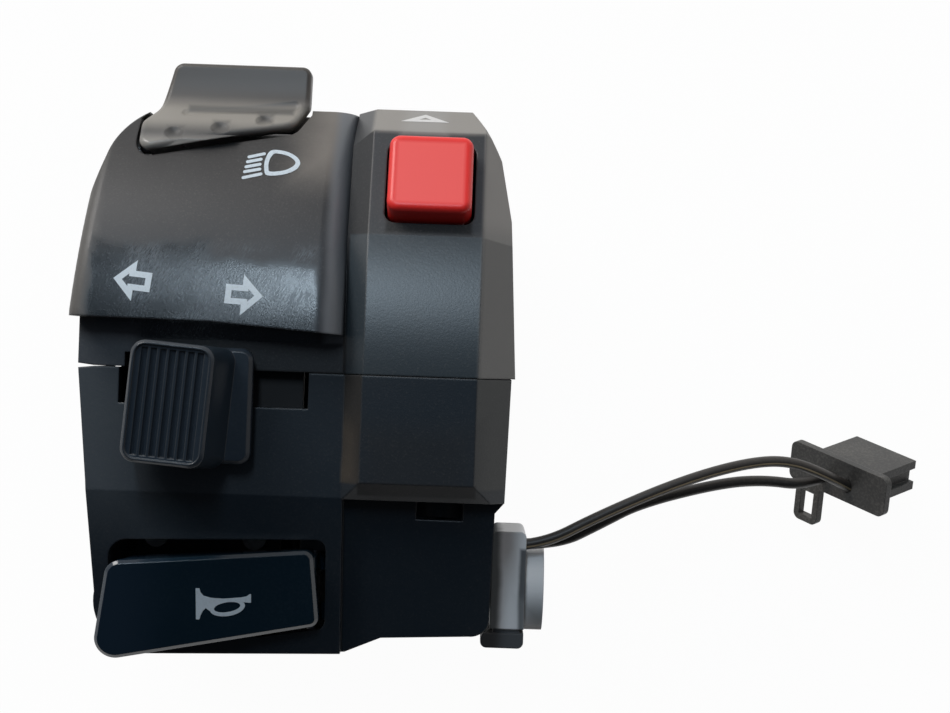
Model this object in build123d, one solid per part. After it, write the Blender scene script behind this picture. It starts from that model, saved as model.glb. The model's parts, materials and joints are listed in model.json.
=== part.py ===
from build123d import *
import math
import os

# Handlebar switch cluster for the left-hand side of a motorcycle.
# The part lies on its back as in the photograph. Millimetres.
# Origin: on the axis of the handlebar bore. +X runs along the bar towards the middle of the
# motorcycle, +Y is up on the motorcycle, and +Z points at the rider, away from the resting back.

# Shared walls, fits and cutters
wall = 2.2
touch_gap = 0.05
slip_gap = 0.1
running_gap = 0.2
free_gap = 0.3
thread_gap = 0.02
overrun = 90.0
cut_margin = 1.0

# Handlebar bore and the split between the two cases
bar_radius = 11.1
split_half_gap = 0.05
end_gap_extra = 0.25
end_gap_inner_x = -27.3

# Back of both cases, which is the resting face
back_z = -19.5
back_flat_top_y = 24.0
back_flat_bottom_y = -24.0
back_top_edge_z = -4.0
back_bottom_edge_z = -8.5
back_side_run = 4.0
back_side_rise = 7.0

# Upper case, hood on the left with the lever pocket and the turn marks
front_z = 26.0
band_left_x = -29.9
hood_left_x = -30.6
hood_crest_z = 31.5
hood_radius = 48.0
hood_top_y = 37.0
band_top_y = 12.0
hood_side_y = 23.0
hood_side_x = -29.5
hood_shoulder_x = -27.9
hood_shoulder_y = 29.0
hood_corner_x = -26.0
hood_corner_y = 33.3
hood_crown_x = -21.0
hood_edge_left_y = 7.4
hood_edge_middle_x = -12.0
hood_edge_middle_y = 6.45
hood_edge_right_y = 5.2
hood_bevel = 3.0
hood_rim_radius = 1.7
hood_shoulder_radius = 3.6
valley_x = 6.0

# Upper case, hazard panel on the right
panel_z = 29.0
panel_bend_y = 18.9
panel_tilt = 22.3
panel_top_bend_y = 33.5
panel_top_tilt = 61.0
panel_top_y = 37.3
panel_left_x = 8.9
panel_right_x = 24.3
panel_bevel_tilt = 45.0
right_split_x = 29.4
right_side_x = 28.2
right_side_y = 21.5
right_shoulder_x = 26.6
right_shoulder_y = 29.9
right_corner_x = 24.1
right_corner_y = 34.6
right_crown_x = 22.3

# Lower case
lower_right_x = 28.9
lower_box_side_x = 28.5
lower_box_bottom_y = -16.9
lower_box_front_y = -14.5
lower_box_z = 29.0
lower_box_left_x = 6.4
lower_box_face_left_x = 8.8
lower_box_face_right_x = 24.2
lower_waist_x = 27.25
lower_waist_y = -18.4
lower_heel_x = 27.0
lower_heel_y = -33.0
lower_heel_arc_x = 26.3
lower_heel_arc_y = -35.2
lower_heel_end_x = 24.2
lower_heel_end_y = -36.0
lower_swoop_end_x = 12.0
lower_swoop_end_y = -36.6
lower_swoop_start_x = 7.0
lower_swoop_start_y = -38.8
lower_bottom_left_x = -21.0
lower_bottom_left_y = -39.7
lower_toe_x = -25.6
lower_toe_y = -37.4
lower_side_x = -27.4
lower_side_y = -31.0
lower_flank_x = -28.4
lower_flank_y = -15.6
crease_y = -16.8
crease_tilt = 14.0
right_recess = 2.0
recess_left_x = 6.5

# Clamp screws, one in front of the bar and one behind it, with brass threaded inserts
front_screw_x = 19.7
front_screw_z = 23.2
rear_screw_x = 0.0
rear_screw_z = -15.2
screw_radius = 2.0
screw_hole_radius = 2.15
screw_head_radius = 2.95
screw_head_height = 2.4
screw_recess_radius = 3.2
screw_recess_reach = 1.6
screw_recess_half_width = 0.4
screw_recess_depth = 1.2
screw_seat_y = -12.0
screw_tip_y = 12.0
screw_trough_end_y = -19.6
insert_radius = 2.9
insert_start_y = 3.0
insert_end_y = 11.5
insert_groove_width = 1.1
insert_groove_depth = 0.4
boss_radius = 4.4
upper_boss_end_y = 13.4

# Ring ribs that carry the bar between the end walls
rib_x = 5.6
rib_thickness = 1.8
rib_ring = 2.1
rib_web_y = 18.0
rib_web_z = -2.0

# Small self-tapping screws of the switch modules
small_screw_radius = 0.9
small_head_radius = 1.7
small_head_height = 1.1
small_slot_width = 0.45
small_slot_depth = 0.55
small_boss_radius = 2.3
small_thread_length = 5.0

# Turn signal slot, slider, knob and contact base
slot_left_x = -24.3
slot_right_x = 1.4
slot_top_y = 2.0
slot_bottom_y = -4.9
turn_travel = 3.5
cancel_travel = 2.0
turn_base_left_x = -26.3
turn_base_right_x = 5.2
turn_base_top_y = 7.0
turn_base_bottom_y = -16.2
turn_base_z = 12.3
turn_base_thickness = 1.9
turn_rail_width = 1.2
turn_rail_height = 2.8
turn_screw_left_x = -20.5
turn_screw_right_x = 0.5
turn_screw_y = -13.4
slider_left_x = -21.2
slider_right_x = -4.6
slider_top_y = 5.0
slider_bottom_y = -6.9
shutter_thickness = 1.7
shutter_overlap_y = 2.9
stem_left_x = -19.6
stem_right_x = -12.4
stem_top_y = 1.5
stem_bottom_y = -3.9
socket_floor = 1.2
stem_lift = 3.2
cancel_spring_wire = 0.4
cancel_spring_turns = 3
turn_contact_length = 7.4
turn_contact_width = 4.0
turn_contact_thickness = 0.6
turn_fixed_width = 2.2
turn_fixed_length = 5.0
turn_fixed_pitch = 3.9
turn_fixed_setback = 1.25
turn_fixed_step = 1.75
turn_tail_width = 0.8
turn_tail_drop = 0.6
ball_x = -6.7
ball_radius = 1.2
detent_spring_wire = 0.3
detent_spring_turns = 5
collar_left_x = -22.0
collar_right_x = -5.8
collar_top_y = 3.0
collar_bottom_y = -12.5
collar_thickness = 1.8
collar_corner = 1.6
collar_edge = 0.5
knob_turn = -4.5
knob_base_length = 13.0
knob_base_height = 16.2
knob_base_x = -15.1
knob_base_y = -4.7
knob_face_length = 10.8
knob_face_height = 15.9
knob_face_x = -15.75
knob_face_y = -4.5
knob_face_z = 38.0
knob_corner = 1.9
knob_rim = 0.55
knob_dish = 0.35
knob_grooves = 7
knob_groove_pitch = 1.22
knob_groove_radius = 0.42
knob_groove_length = 14.0
knob_edge = 0.35

# Horn paddle, its hinge pin, pocket, contact base and spring
paddle_top_left_x = -24.3
paddle_top_left_y = -25.9
paddle_top_right_x = 2.85
paddle_top_right_y = -23.9
paddle_bottom_right_x = 3.75
paddle_bottom_right_y = -34.5
paddle_toe_x = -26.8
paddle_toe_y = -40.1
paddle_corner = 1.3
paddle_high_corner = 2.2
paddle_toe_corner = 2.7
paddle_reference_x = 3.5
paddle_reference_y = -29.0
paddle_reference_z = 26.0
paddle_rise_share = 0.142
paddle_tilt_share = 0.3
paddle_thickness = 2.3
paddle_edge = 0.5
pocket_left_x = -25.4
pocket_top_left_y = -23.6
pocket_right_gap = 0.6
pocket_top_right_y = -22.7
pocket_bottom_right_y = -35.3
pocket_bottom_x = -5.0
pocket_bottom_y = -36.8
pocket_bottom_left_y = -36.2
pocket_corner = 1.4
pocket_high_corner = 2.6
pocket_low_z = 17.0
skirt_inset = 0.4
skirt_wall = 1.6
skirt_gap = 0.8
skirt_low_z = 20.0
horn_pin_x = 2.3
horn_pin_z = 17.5
horn_pin_radius = 1.0
horn_pin_top_y = -21.3
horn_pin_bottom_y = -37.8
horn_lug_radius = 2.0
horn_lug_width = 2.4
horn_lug_upper_y = -26.2
horn_lug_lower_y = -33.2
horn_pin_block = 1.9
horn_boss_x = -17.0
horn_boss_y = -30.5
horn_boss_radius = 3.0
horn_boss_z = 17.0
horn_striker_x = -10.0
horn_striker_radius = 2.2
horn_striker_z = 12.0
horn_contact_half_length = 2.0
horn_contact_half_width = 1.6
horn_contact_thickness = 0.6
horn_rivet_radius = 1.5
horn_rivet_z = 9.7
horn_rivet_tail = 1.5
horn_base_left_x = -24.4
horn_base_right_x = -3.6
horn_base_top_y = -21.4
horn_base_bottom_y = -35.4
horn_base_z = 6.0
horn_base_thickness = 2.0
horn_tower_y = -24.4
horn_tower_left_x = -21.4
horn_tower_right_x = -7.2
horn_spring_radius = 2.2
horn_spring_wire = 0.5
horn_spring_turns = 5

# Beam and flash lever at the top
lever_pivot_y = 31.0
lever_pivot_z = 13.5
lever_left_x = -23.5
lever_right_x = -0.8
lever_gap = 0.85
lever_side_gap = 0.4
lever_pocket_z = 7.0
tongue_low_left_y = 29.7
tongue_low_right_x = -2.8
tongue_low_right_y = 33.9
tongue_right_y = 37.3
blade_left_low_x = -23.8
blade_left_low_y = 34.0
blade_left_mid_x = -21.8
blade_left_mid_y = 36.2
blade_left_top_x = -20.1
blade_top_y = 43.3
lever_face_low_y = 28.6
lever_face_length = 15.4
lever_face_end_z = 13.5
lever_face_rise = 10.3
lever_face_shares = [
    (0.0, 1.0), (0.22, 0.73), (0.375, 0.485), (0.485, 0.28), (0.57, 0.155), (0.66, 0.09), (1.0, 0.0)]
lever_thickness = 2.6
lever_corners = [1.4, 2.2, 1.2, 1.3, 1.5, 3.0, 1.6]
lever_edge = 0.7
lever_groove_left = (-17.7, 35.9)
lever_groove_right = (-2.9, 37.2)
lever_groove_radius = 1.6
lever_groove_depth = 0.28
lever_hub_radius = 2.6
lever_hub_inset = 0.8
lever_web_height = 7.8
lever_pin_radius = 1.2
lever_pin_left_x = -26.0
lever_pin_right_x = 2.2
lever_cheek_x = 0.4
lever_cheek_thickness = 2.0
lever_cheek_half_height = 3.0
lever_arm_left_x = -16.6
lever_arm_right_x = -8.0
lever_arm_half = 1.4
carrier_z = -0.5
carrier_height = 4.0
carrier_half = 1.6
carrier_side = 1.2
beam_contact_half_y = 1.3
beam_contact_thickness = 0.5
beam_base_left_x = -22.4
beam_base_right_x = 1.2
beam_base_top_y = 33.3
beam_base_bottom_y = 21.6
beam_base_z = -3.4
beam_base_thickness = 1.7
beam_strip_height = 0.4
beam_strip_width = 1.5
beam_strip_inner = 2.3
beam_strip_outer = 4.5
beam_strip_front_y = 28.6
beam_strip_length = 4.2
beam_tail_drop = 2.4
beam_tail_width = 0.9
beam_screw_left_x = -19.4
beam_screw_right_x = -2.6
beam_screw_y = 24.4
beam_plunger_radius = 0.9
beam_plunger_length = 2.4
beam_spring_wire = 0.225
beam_spring_turns = 5
dimple_left_x = -18.9
dimple_run_x = 12.2
dimple_low_y = 32.5
dimple_run_y = 2.5
dimple_shares = [(0.0, 0.0), (0.51, 0.44), (1.0, 1.0)]
dimple_radius = 2.1
dimple_depth = 0.5

# Hazard switch behind the red cap
hazard_x = 17.0
hazard_foot_y = 26.2
cap_size = 11.35
cap_height = 3.45
cap_skirt = 2.6
cap_corner = 1.5
cap_edge = 0.9
cap_roof = 2.4
cap_gap = 0.4
hazard_travel = 2.5
plunger_size = 5.6
plunger_low = -11.0
hazard_body_half_u = 5.6
hazard_body_half_v = 6.2
hazard_body_top = -5.7
hazard_body_low = -15.6
hazard_cavity_half = 4.4
hazard_cavity_top = -7.4
hazard_floor = 1.4
hazard_ear_u = 4.0
hazard_ear_v = 7.9
hazard_ear_radius = 1.5
hazard_ear_thickness = 1.5
hazard_bridge_half_u = 4.1
hazard_bridge_half_v = 1.2
hazard_bridge_low = -9.6
hazard_bridge_thickness = 0.5
hazard_terminal_u = 3.2
hazard_terminal_width = 0.9
hazard_terminal_half_v = 1.2
hazard_terminal_low = -18.4
hazard_spring_radius = 2.0
hazard_spring_wire = 0.4
hazard_spring_turns = 3

# Cable outlet on the lower right side
outlet_right_x = 32.3
outlet_top_y = -22.5
outlet_bottom_y = -39.6
outlet_foot_y = -36.8
outlet_foot_left_x = 26.0
outlet_foot_step = 0.6
outlet_z = -2.0
outlet_half_depth = 7.4
outlet_corner = 0.9
nozzle_right_x = 35.1
nozzle_top_y = -25.2
nozzle_bottom_y = -37.7
nozzle_bore_radius = 4.4
neck_y = -28.4
neck_half_height = 4.0
neck_half_depth = 5.6
neck_bore_radius = 3.2
inner_flange_thickness = 1.8
inner_flange_lip = 1.2

# Two-wire lead with its connector
wire_radius = 0.82
lead_start_x = 29.8
arc_share = 0.45
inner_wire_radius = 0.65
inner_routes = [
    ("hazard wire", [
        (20.7, 17.1, 4.0), (21.2, 15.9, -4.0), (21.8, 10.5, -11.5), (22.0, 2.5, -14.6),
        (22.0, -6.0, -14.6), (21.4, -15.0, -11.6), (20.4, -23.0, -7.0), (21.4, -27.4, -3.7)], 1.0, -1.3),
    ("beam wire", [
        (-7.8, 29.05, -8.8), (-7.0, 24.2, -12.2), (-3.2, 20.2, -13.4), (3.6, 19.6, -13.2),
        (10.6, 19.8, -12.6),
        (16.6, 16.6, -12.0), (19.4, 10.2, -13.2), (19.6, 2.0, -15.2), (19.4, -6.4, -14.8),
        (18.6, -14.6, -11.8), (17.6, -22.4, -7.0), (19.4, -27.8, -3.0)], -1.2, -0.6),
    ("horn wire", [
        (-10.0, -30.5, 1.0), (-6.4, -30.0, -2.6), (1.0, -29.4, -3.2), (10.0, -28.9, -1.8),
        (17.4, -28.2, -0.2)], 0.6, 1.4),
]
lead_exit_y = -24.6
lead_upper_z = 3.6
lead_lower_z = 1.7
lead_upper_route = [
    (34.4, -24.6, 3.6), (43.1, -19.9, 2.6), (55.0, -14.6, 0.6), (65.0, -11.6, -1.8),
    (71.9, -11.0, -3.0), (78.4, -13.4, -3.7),
]
lead_lower_route = [
    (36.8, -24.6, 1.7), (43.3, -21.3, 0.6), (49.3, -18.1, -1.0), (61.6, -14.9, -4.0),
    (68.7, -14.3, -6.0), (74.9, -15.0, -6.6),
]
connector_centre = (80.1, -13.8, -8.15)
connector_long = (0.653, -0.276, 0.706)
connector_forward = (0.758, 0.233, -0.609)
flange_half_length = 9.3
flange_half_width = 3.2
flange_thickness = 1.2
flange_corner = 1.2
shell_left = -5.3
shell_right = 6.3
shell_half_width = 2.4
shell_depth = 11.0
shell_waist = 0.9
shell_lip = 1.3
terminal_hole = 1.5
terminal_pitch = 4.2
terminal_y = 0.5
terminal_floor = 2.6
terminal_width = 1.3
terminal_thickness = 0.7
latch_left = -7.6
latch_right = -3.0
latch_drop = 6.3
latch_bar = 1.05
latch_root = 0.8
wire_bury = 1.0


# Plain shapes


def block(x0, x1, y0, y1, z0, z1):
    """A box between two corners."""
    return Pos((x0 + x1) / 2, (y0 + y1) / 2, (z0 + z1) / 2) * Box(x1 - x0, y1 - y0, z1 - z0)


def rod(radius, start, end):
    """A round bar between two points."""
    along = Vector(*end) - Vector(*start)
    return extrude(Plane(origin=start, z_dir=along) * Circle(radius), amount=along.length)


def tube(outer, inner, start, end):
    """A round bar with a bore."""
    return rod(outer, start, end) - rod(inner, start, end)


def prism(face, z0, z1):
    """A flat outline raised between two heights."""
    return extrude(Pos(0, 0, z0) * face, amount=z1 - z0)


def outline(points, corners=None):
    """A closed outline through points, with a round corner at each of them."""
    face = make_face(Polyline(*points, close=True))
    for point, corner in zip(points, corners or []):
        face = fillet(face.vertices().sort_by_distance(point)[0], corner)
    return face


def shrunk(face, inset):
    """An outline moved inwards on every side."""
    return offset(face, amount=-inset, kind=Kind.ARC) if inset else face


def trim(solid, point, outward):
    """What is left of a solid under a plane."""
    side = Plane(origin=point, z_dir=outward)
    return solid - side * (Pos(0, 0, overrun / 2) * Box(2 * overrun, 2 * overrun, overrun))


def below(solid, point, outward, inset):
    """The same, with the plane moved inwards by the wall."""
    away = Vector(*outward).normalized()
    return trim(solid, Vector(*point) - away * inset, away)


def tilted(degrees, turn=0.0):
    """The outward direction of a front face that leans up by some degrees, or sideways."""
    lean, side = math.radians(degrees), math.radians(turn)
    return (math.sin(side), math.sin(lean) * math.cos(side), math.cos(lean) * math.cos(side))


def front_height(y):
    """Height of the hazard panel's front at a place up the panel."""
    return panel_z - max(0.0, y - panel_bend_y) * math.tan(math.radians(panel_tilt))


# Forms of the two cases, outside with no inset and inside with the wall as the inset


def trim_back(solid, side, inset):
    """The flat back, its slope at the top or the bottom, and its two slanted sides."""
    flat_y = back_flat_top_y if side > 0 else back_flat_bottom_y
    end_y = panel_top_y if side > 0 else lower_bottom_left_y
    end_z = back_top_edge_z if side > 0 else back_bottom_edge_z
    solid = below(solid, (0, 0, back_z), (0, 0, -1), inset)
    solid = below(solid, (0, flat_y, back_z), (0, side * (end_z - back_z), -abs(end_y - flat_y)), inset)
    for edge_x in (band_left_x, lower_right_x):
        away = math.copysign(back_side_rise, edge_x)
        foot_x = edge_x - math.copysign(back_side_run, edge_x)
        solid = below(solid, (foot_x, 0, back_z), (away, 0, -back_side_run), inset)
    return solid


def band_form(inset):
    """The recessed band between the split and the hood."""
    left = band_left_x + inset
    low_y = -cut_margin if inset else split_half_gap
    return block(left, valley_x, low_y, band_top_y, back_z, front_z - inset)


def hood_form(inset):
    """The rounded hood with its lifted lower edge."""
    side = Line((hood_left_x, hood_edge_left_y), (hood_side_x, hood_side_y))
    shoulder = Line(side @ 1, (hood_shoulder_x, hood_shoulder_y))
    corner = ThreePointArc(shoulder @ 1, (hood_corner_x, hood_corner_y), (hood_crown_x, hood_top_y))
    crown = Line(corner @ 1, (valley_x, hood_top_y))
    right = Line(crown @ 1, (valley_x, 0))
    foot = Line(right @ 1, (hood_left_x, 0))
    heel = Line(foot @ 1, side @ 0)
    face = make_face(side + shoulder + corner + crown + right + foot + heel)
    past = shrunk(face, inset)
    if inset:
        past = past + Pos(valley_x - inset - cut_margin, hood_top_y / 2, 0) * Rectangle(
            2 * (inset + cut_margin), hood_top_y - 2 * inset)
        past = past & Pos(valley_x - overrun / 2, 0, 0) * Rectangle(overrun, overrun)
    solid = prism(past, back_z, hood_radius)
    axis_z = hood_crest_z - hood_radius
    barrel = rod(hood_radius - inset, (-overrun, 0, axis_z), (overrun, 0, axis_z))
    solid = solid & barrel
    end_edges = solid.edges().filter_by(GeomType.CIRCLE).group_by(Axis.X)[-1]
    bevel = hood_bevel + inset * (math.sqrt(2) - 1)
    solid = chamfer(end_edges, bevel) if inset else fillet(end_edges, hood_shoulder_radius)
    if not inset:
        left_edges = solid.edges().filter_by(lambda e: e.center().X < hood_side_x - split_half_gap)
        solid = fillet(left_edges.group_by(Axis.Z)[-1], hood_rim_radius)
    for left_xy, right_xy in (
        ((hood_left_x, hood_edge_left_y), (hood_edge_middle_x, hood_edge_middle_y)),
        ((hood_edge_middle_x, hood_edge_middle_y), (valley_x, hood_edge_right_y)),
    ):
        start_x = left_xy[0] - (overrun if left_xy[0] == hood_left_x else 0)
        part_under = outline([
            (start_x, left_xy[1] + inset),
            (right_xy[0], right_xy[1] + inset),
            (right_xy[0], -overrun),
            (start_x, -overrun),
        ])
        solid = solid - prism(part_under, -overrun, overrun)
    return solid


def panel_form(inset):
    """The flat panel for the hazard button, bent back at the top, with slanted sides."""
    side = Line((right_split_x, 0), (right_side_x, right_side_y))
    shoulder = Line(side @ 1, (right_shoulder_x, right_shoulder_y))
    corner = ThreePointArc(shoulder @ 1, (right_corner_x, right_corner_y), (right_crown_x, panel_top_y))
    crown = Line(corner @ 1, (valley_x, panel_top_y))
    left = Line(crown @ 1, (valley_x, 0))
    foot = Line(left @ 1, side @ 0)
    face = make_face(side + shoulder + corner + crown + left + foot)
    past = shrunk(face, inset)
    if inset:
        past = past + Pos(valley_x + inset + cut_margin, panel_top_y / 2 - inset, 0) * Rectangle(
            2 * (inset + cut_margin), panel_top_y)
        past = past + Pos((valley_x + right_side_x) / 2, 0, 0) * Rectangle(
            right_side_x - valley_x - 2 * inset, 2 * (inset + cut_margin))
        past = past & Pos(valley_x + overrun / 2, 0, 0) * Rectangle(overrun, overrun)
    solid = prism(past, back_z, panel_z)
    top_z = front_height(panel_top_bend_y)
    levels = (
        (0.0, 0.0, panel_z),
        (panel_tilt, panel_bend_y, panel_z),
        (panel_top_tilt, panel_top_bend_y, top_z),
    )
    for lean, y, z in levels:
        solid = below(solid, (panel_left_x, y, z), tilted(lean), inset)
        solid = below(solid, (panel_left_x, y, z), tilted(lean, -panel_bevel_tilt), inset)
        solid = below(solid, (panel_right_x, y, z), tilted(lean, panel_bevel_tilt), inset)
    return solid


def lower_outline():
    """The lower case seen from the front."""
    flank = Line((lower_flank_x, lower_flank_y), (band_left_x, 0))
    split = Line(flank @ 1, (lower_right_x, 0))
    right = Line(split @ 1, (lower_box_side_x, lower_box_bottom_y))
    waist = Line(right @ 1, (lower_waist_x, lower_waist_y))
    heel = Line(waist @ 1, (lower_heel_x, lower_heel_y))
    turn_end = (lower_heel_end_x, lower_heel_end_y)
    turn = ThreePointArc(heel @ 1, (lower_heel_arc_x, lower_heel_arc_y), turn_end)
    sole = Line(turn @ 1, (lower_swoop_end_x, lower_swoop_end_y))
    swoop = Line(sole @ 1, (lower_swoop_start_x, lower_swoop_start_y))
    bottom = Line(swoop @ 1, (lower_bottom_left_x, lower_bottom_left_y))
    toe = ThreePointArc(bottom @ 1, (lower_toe_x, lower_toe_y), (lower_side_x, lower_side_y))
    side = Line(toe @ 1, flank @ 0)
    return make_face(flank + split + right + waist + heel + turn + sole + swoop + bottom + toe + side)


def lower_form(inset):
    """The lower case: a flat front that slopes away under a crease, and a box under the panel."""
    face = lower_outline()
    past = shrunk(face, inset)
    if inset:
        past = past + Pos((band_left_x + lower_right_x) / 2, 0, 0) * Rectangle(
            lower_right_x - band_left_x - 2 * inset, 2 * (inset + cut_margin))
    ceiling = cut_margin if inset else -split_half_gap
    past = past & Pos(0, ceiling - overrun / 2, 0) * Rectangle(2 * overrun, overrun)
    lean = tilted(-crease_tilt)
    left = prism(past, back_z, front_z - inset)
    left = trim(left, (recess_left_x - inset, 0, 0), (1, 0, 0))
    left = below(left, (0, crease_y, front_z), lean, inset)
    right = prism(past, back_z, front_z - right_recess - inset)
    right = trim(right, (recess_left_x - inset - (cut_margin if inset else 0), 0, 0), (-1, 0, 0))
    right = below(right, (0, crease_y, front_z - right_recess), lean, inset)
    box = prism(past, 0, lower_box_z - inset)
    box = below(box, (0, lower_box_bottom_y, 0), (0, -1, 0), inset)
    box = below(box, (lower_box_left_x, 0, front_z), (-1, 0, 0), 0)
    box = below(box, (lower_box_face_left_x, 0, lower_box_z), tilted(0, -panel_bevel_tilt), inset)
    box = below(box, (lower_box_face_right_x, 0, lower_box_z), tilted(0, panel_bevel_tilt), inset)
    box = below(box, (0, lower_box_front_y, lower_box_z), tilted(-panel_bevel_tilt), inset)
    return left + right + box


# The two cases


def screw_places():
    """Where the two clamp screws stand."""
    return ((front_screw_x, front_screw_z), (rear_screw_x, rear_screw_z))


def ring_rib(side):
    """The rib that cradles the bar, on one side of the split."""
    x1 = rib_x + rib_thickness
    ring = rod(bar_radius + rib_ring, (rib_x, 0, 0), (x1, 0, 0))
    web = block(rib_x, x1, -rib_web_y, rib_web_y, back_z + wall, rib_web_z)
    return trim(ring + web, (0, side * split_half_gap, 0), (0, -side, 0))


def bar_bore():
    """The bore for the handlebar."""
    return rod(bar_radius, (-overrun, 0, 0), (overrun, 0, 0))


def end_gap(side):
    """The gap between the cases, which widens to their left end."""
    edge_y = side * (split_half_gap + end_gap_extra)
    wedge = outline([(end_gap_inner_x, 0), (band_left_x, edge_y), (-overrun, edge_y), (-overrun, 0)])
    return prism(wedge, -overrun, overrun)


def slot_opening(side):
    """The slot for the turn knob: long in the lower case, as wide as the stem moves in the upper one."""
    if side < 0:
        return block(slot_left_x, slot_right_x, slot_bottom_y, 0, turn_base_z, front_z + cut_margin)
    reach = turn_travel + slot_top_y - stem_top_y
    return block(stem_left_x - reach, stem_right_x + reach, 0, slot_top_y, turn_base_z, front_z + cut_margin)


def pin_hole(x, y, low_z, high_z, radius):
    """A round hole along Z."""
    return rod(radius, (x, y, low_z), (x, y, high_z))


def lever_outline(grow):
    """The beam lever seen from the front, or its pocket when it is grown by the gap."""
    points = [
        (lever_left_x, tongue_low_left_y),
        (tongue_low_right_x, tongue_low_right_y),
        (lever_right_x, tongue_right_y),
        (lever_right_x, blade_top_y),
        (blade_left_top_x, blade_top_y),
        (blade_left_mid_x, blade_left_mid_y),
        (blade_left_low_x, blade_left_low_y),
    ]
    if not grow:
        return outline(points, lever_corners)
    face = offset(outline(points), amount=grow, kind=Kind.INTERSECTION)
    left_x, right_x = blade_left_low_x - lever_side_gap, lever_right_x + lever_side_gap
    clip = Pos((left_x + right_x) / 2, blade_top_y, 0) * Rectangle(right_x - left_x, overrun)
    face = face & clip
    low_corners = face.vertices().sort_by(Axis.Y)[:2]
    return fillet(low_corners, lever_corners[0] + grow)


def hazard_place(u, v, w):
    """A point in the tilted frame of the hazard button."""
    lean = math.radians(panel_tilt)
    foot_z = front_height(hazard_foot_y)
    y = hazard_foot_y + v * math.cos(lean) + w * math.sin(lean)
    return (hazard_x + u, y, foot_z - v * math.sin(lean) + w * math.cos(lean))


def hazard_plane(w=0.0):
    """The tilted plane at a height over the panel's face."""
    return Plane(origin=hazard_place(0, 0, w), x_dir=(1, 0, 0), z_dir=tilted(panel_tilt))


def hazard_block(half_u, half_v, low, high, corner=0.0):
    """A square block along the hazard button's axis."""
    face = Rectangle(2 * half_u, 2 * half_v)
    if corner:
        face = fillet(face.vertices(), corner)
    return extrude(hazard_plane(low) * face, amount=high - low)


def hazard_rod(u, v, low, high, radius):
    """A round bar along the hazard button's axis."""
    return rod(radius, hazard_place(u, v, low), hazard_place(u, v, high))


def hazard_ears():
    """Where the two ears of the hazard switch stand, corner to corner."""
    return ((-hazard_ear_u, -hazard_ear_v), (hazard_ear_u, hazard_ear_v))


def beam_screw_places():
    return ((beam_screw_left_x, beam_screw_y), (beam_screw_right_x, beam_screw_y))


def turn_screw_places():
    return ((turn_screw_left_x, turn_screw_y), (turn_screw_right_x, turn_screw_y))


def horn_screw_places():
    return ((horn_tower_left_x, horn_tower_y), (horn_tower_right_x, horn_tower_y))


def upper_case():
    """The upper case, with hood, hazard panel, lever pocket, bosses and half of the bore."""
    inside = band_form(wall) + hood_form(wall) + panel_form(wall)
    inside = trim_back(inside, 1, wall)
    shell = band_form(0) + hood_form(0) + panel_form(0)
    shell = trim_back(trim(shell, (0, split_half_gap, 0), (0, -1, 0)), 1, 0)
    outside = shell
    shell = shell - inside
    added = [ring_rib(1)]
    for x, z in screw_places():
        added.append(rod(boss_radius, (x, split_half_gap, z), (x, upper_boss_end_y, z)))
    for x, y in beam_screw_places():
        added.append(pin_hole(x, y, back_z + wall / 2, beam_base_z, small_boss_radius))
    for u, v in hazard_ears():
        added.append(hazard_rod(u, v, hazard_body_top, -wall / 2, hazard_ear_radius))
    cheek_y0 = lever_pivot_y - lever_cheek_half_height
    cheek_z0 = lever_pivot_z - lever_cheek_half_height
    added.append(block(
        lever_cheek_x, lever_cheek_x + lever_cheek_thickness, cheek_y0, hood_top_y, cheek_z0, hood_radius))
    for piece in added:
        shell = shell + (piece & outside)
    shell = shell - bar_bore() - end_gap(1) - slot_opening(1)
    shell = shell - prism(lever_outline(lever_gap), lever_pocket_z, hood_radius)
    pin_end = lever_cheek_x + lever_cheek_thickness
    shell = shell - rod(
        lever_pin_radius + thread_gap,
        (lever_pin_left_x, lever_pivot_y, lever_pivot_z), (pin_end, lever_pivot_y, lever_pivot_z))
    for x, z in screw_places():
        shell = shell - rod(insert_radius + thread_gap, (x, insert_start_y, z), (x, insert_end_y, z))
        shell = shell - rod(screw_hole_radius, (x, 0, z), (x, screw_tip_y + free_gap, z))
    for x, y in beam_screw_places():
        low = beam_base_z - small_thread_length
        shell = shell - pin_hole(x, y, low, beam_base_z, small_screw_radius + thread_gap)
    for u, v in hazard_ears():
        top = hazard_body_top + small_thread_length - hazard_ear_thickness
        shell = shell - hazard_rod(u, v, hazard_body_top, top, small_screw_radius + thread_gap)
    half = cap_size / 2 + cap_gap
    return shell - hazard_block(half, half, hazard_body_top, cap_height, cap_corner)


def paddle_outline():
    """The horn paddle seen from the front."""
    return outline([
        (paddle_top_left_x, paddle_top_left_y),
        (paddle_top_right_x, paddle_top_right_y),
        (paddle_bottom_right_x, paddle_bottom_right_y),
        (paddle_toe_x, paddle_toe_y),
    ], [paddle_high_corner, paddle_corner, paddle_corner, paddle_toe_corner])


def pocket_outline():
    """The pocket under the paddle. The paddle's lifted left end reaches past it."""
    right_x = paddle_bottom_right_x + pocket_right_gap
    return outline([
        (pocket_left_x, pocket_top_left_y),
        (right_x, pocket_top_right_y),
        (right_x, pocket_bottom_right_y),
        (pocket_bottom_x, pocket_bottom_y),
        (pocket_left_x, pocket_bottom_left_y),
    ], [pocket_high_corner, pocket_corner, pocket_corner, pocket_corner, pocket_corner])


def paddle_plane(drop):
    """A point and the outward direction of the paddle's slanted top, or of a plane under it."""
    point = (paddle_reference_x, paddle_reference_y, paddle_reference_z - drop)
    return point, (paddle_rise_share, -paddle_tilt_share, 1.0)


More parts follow.
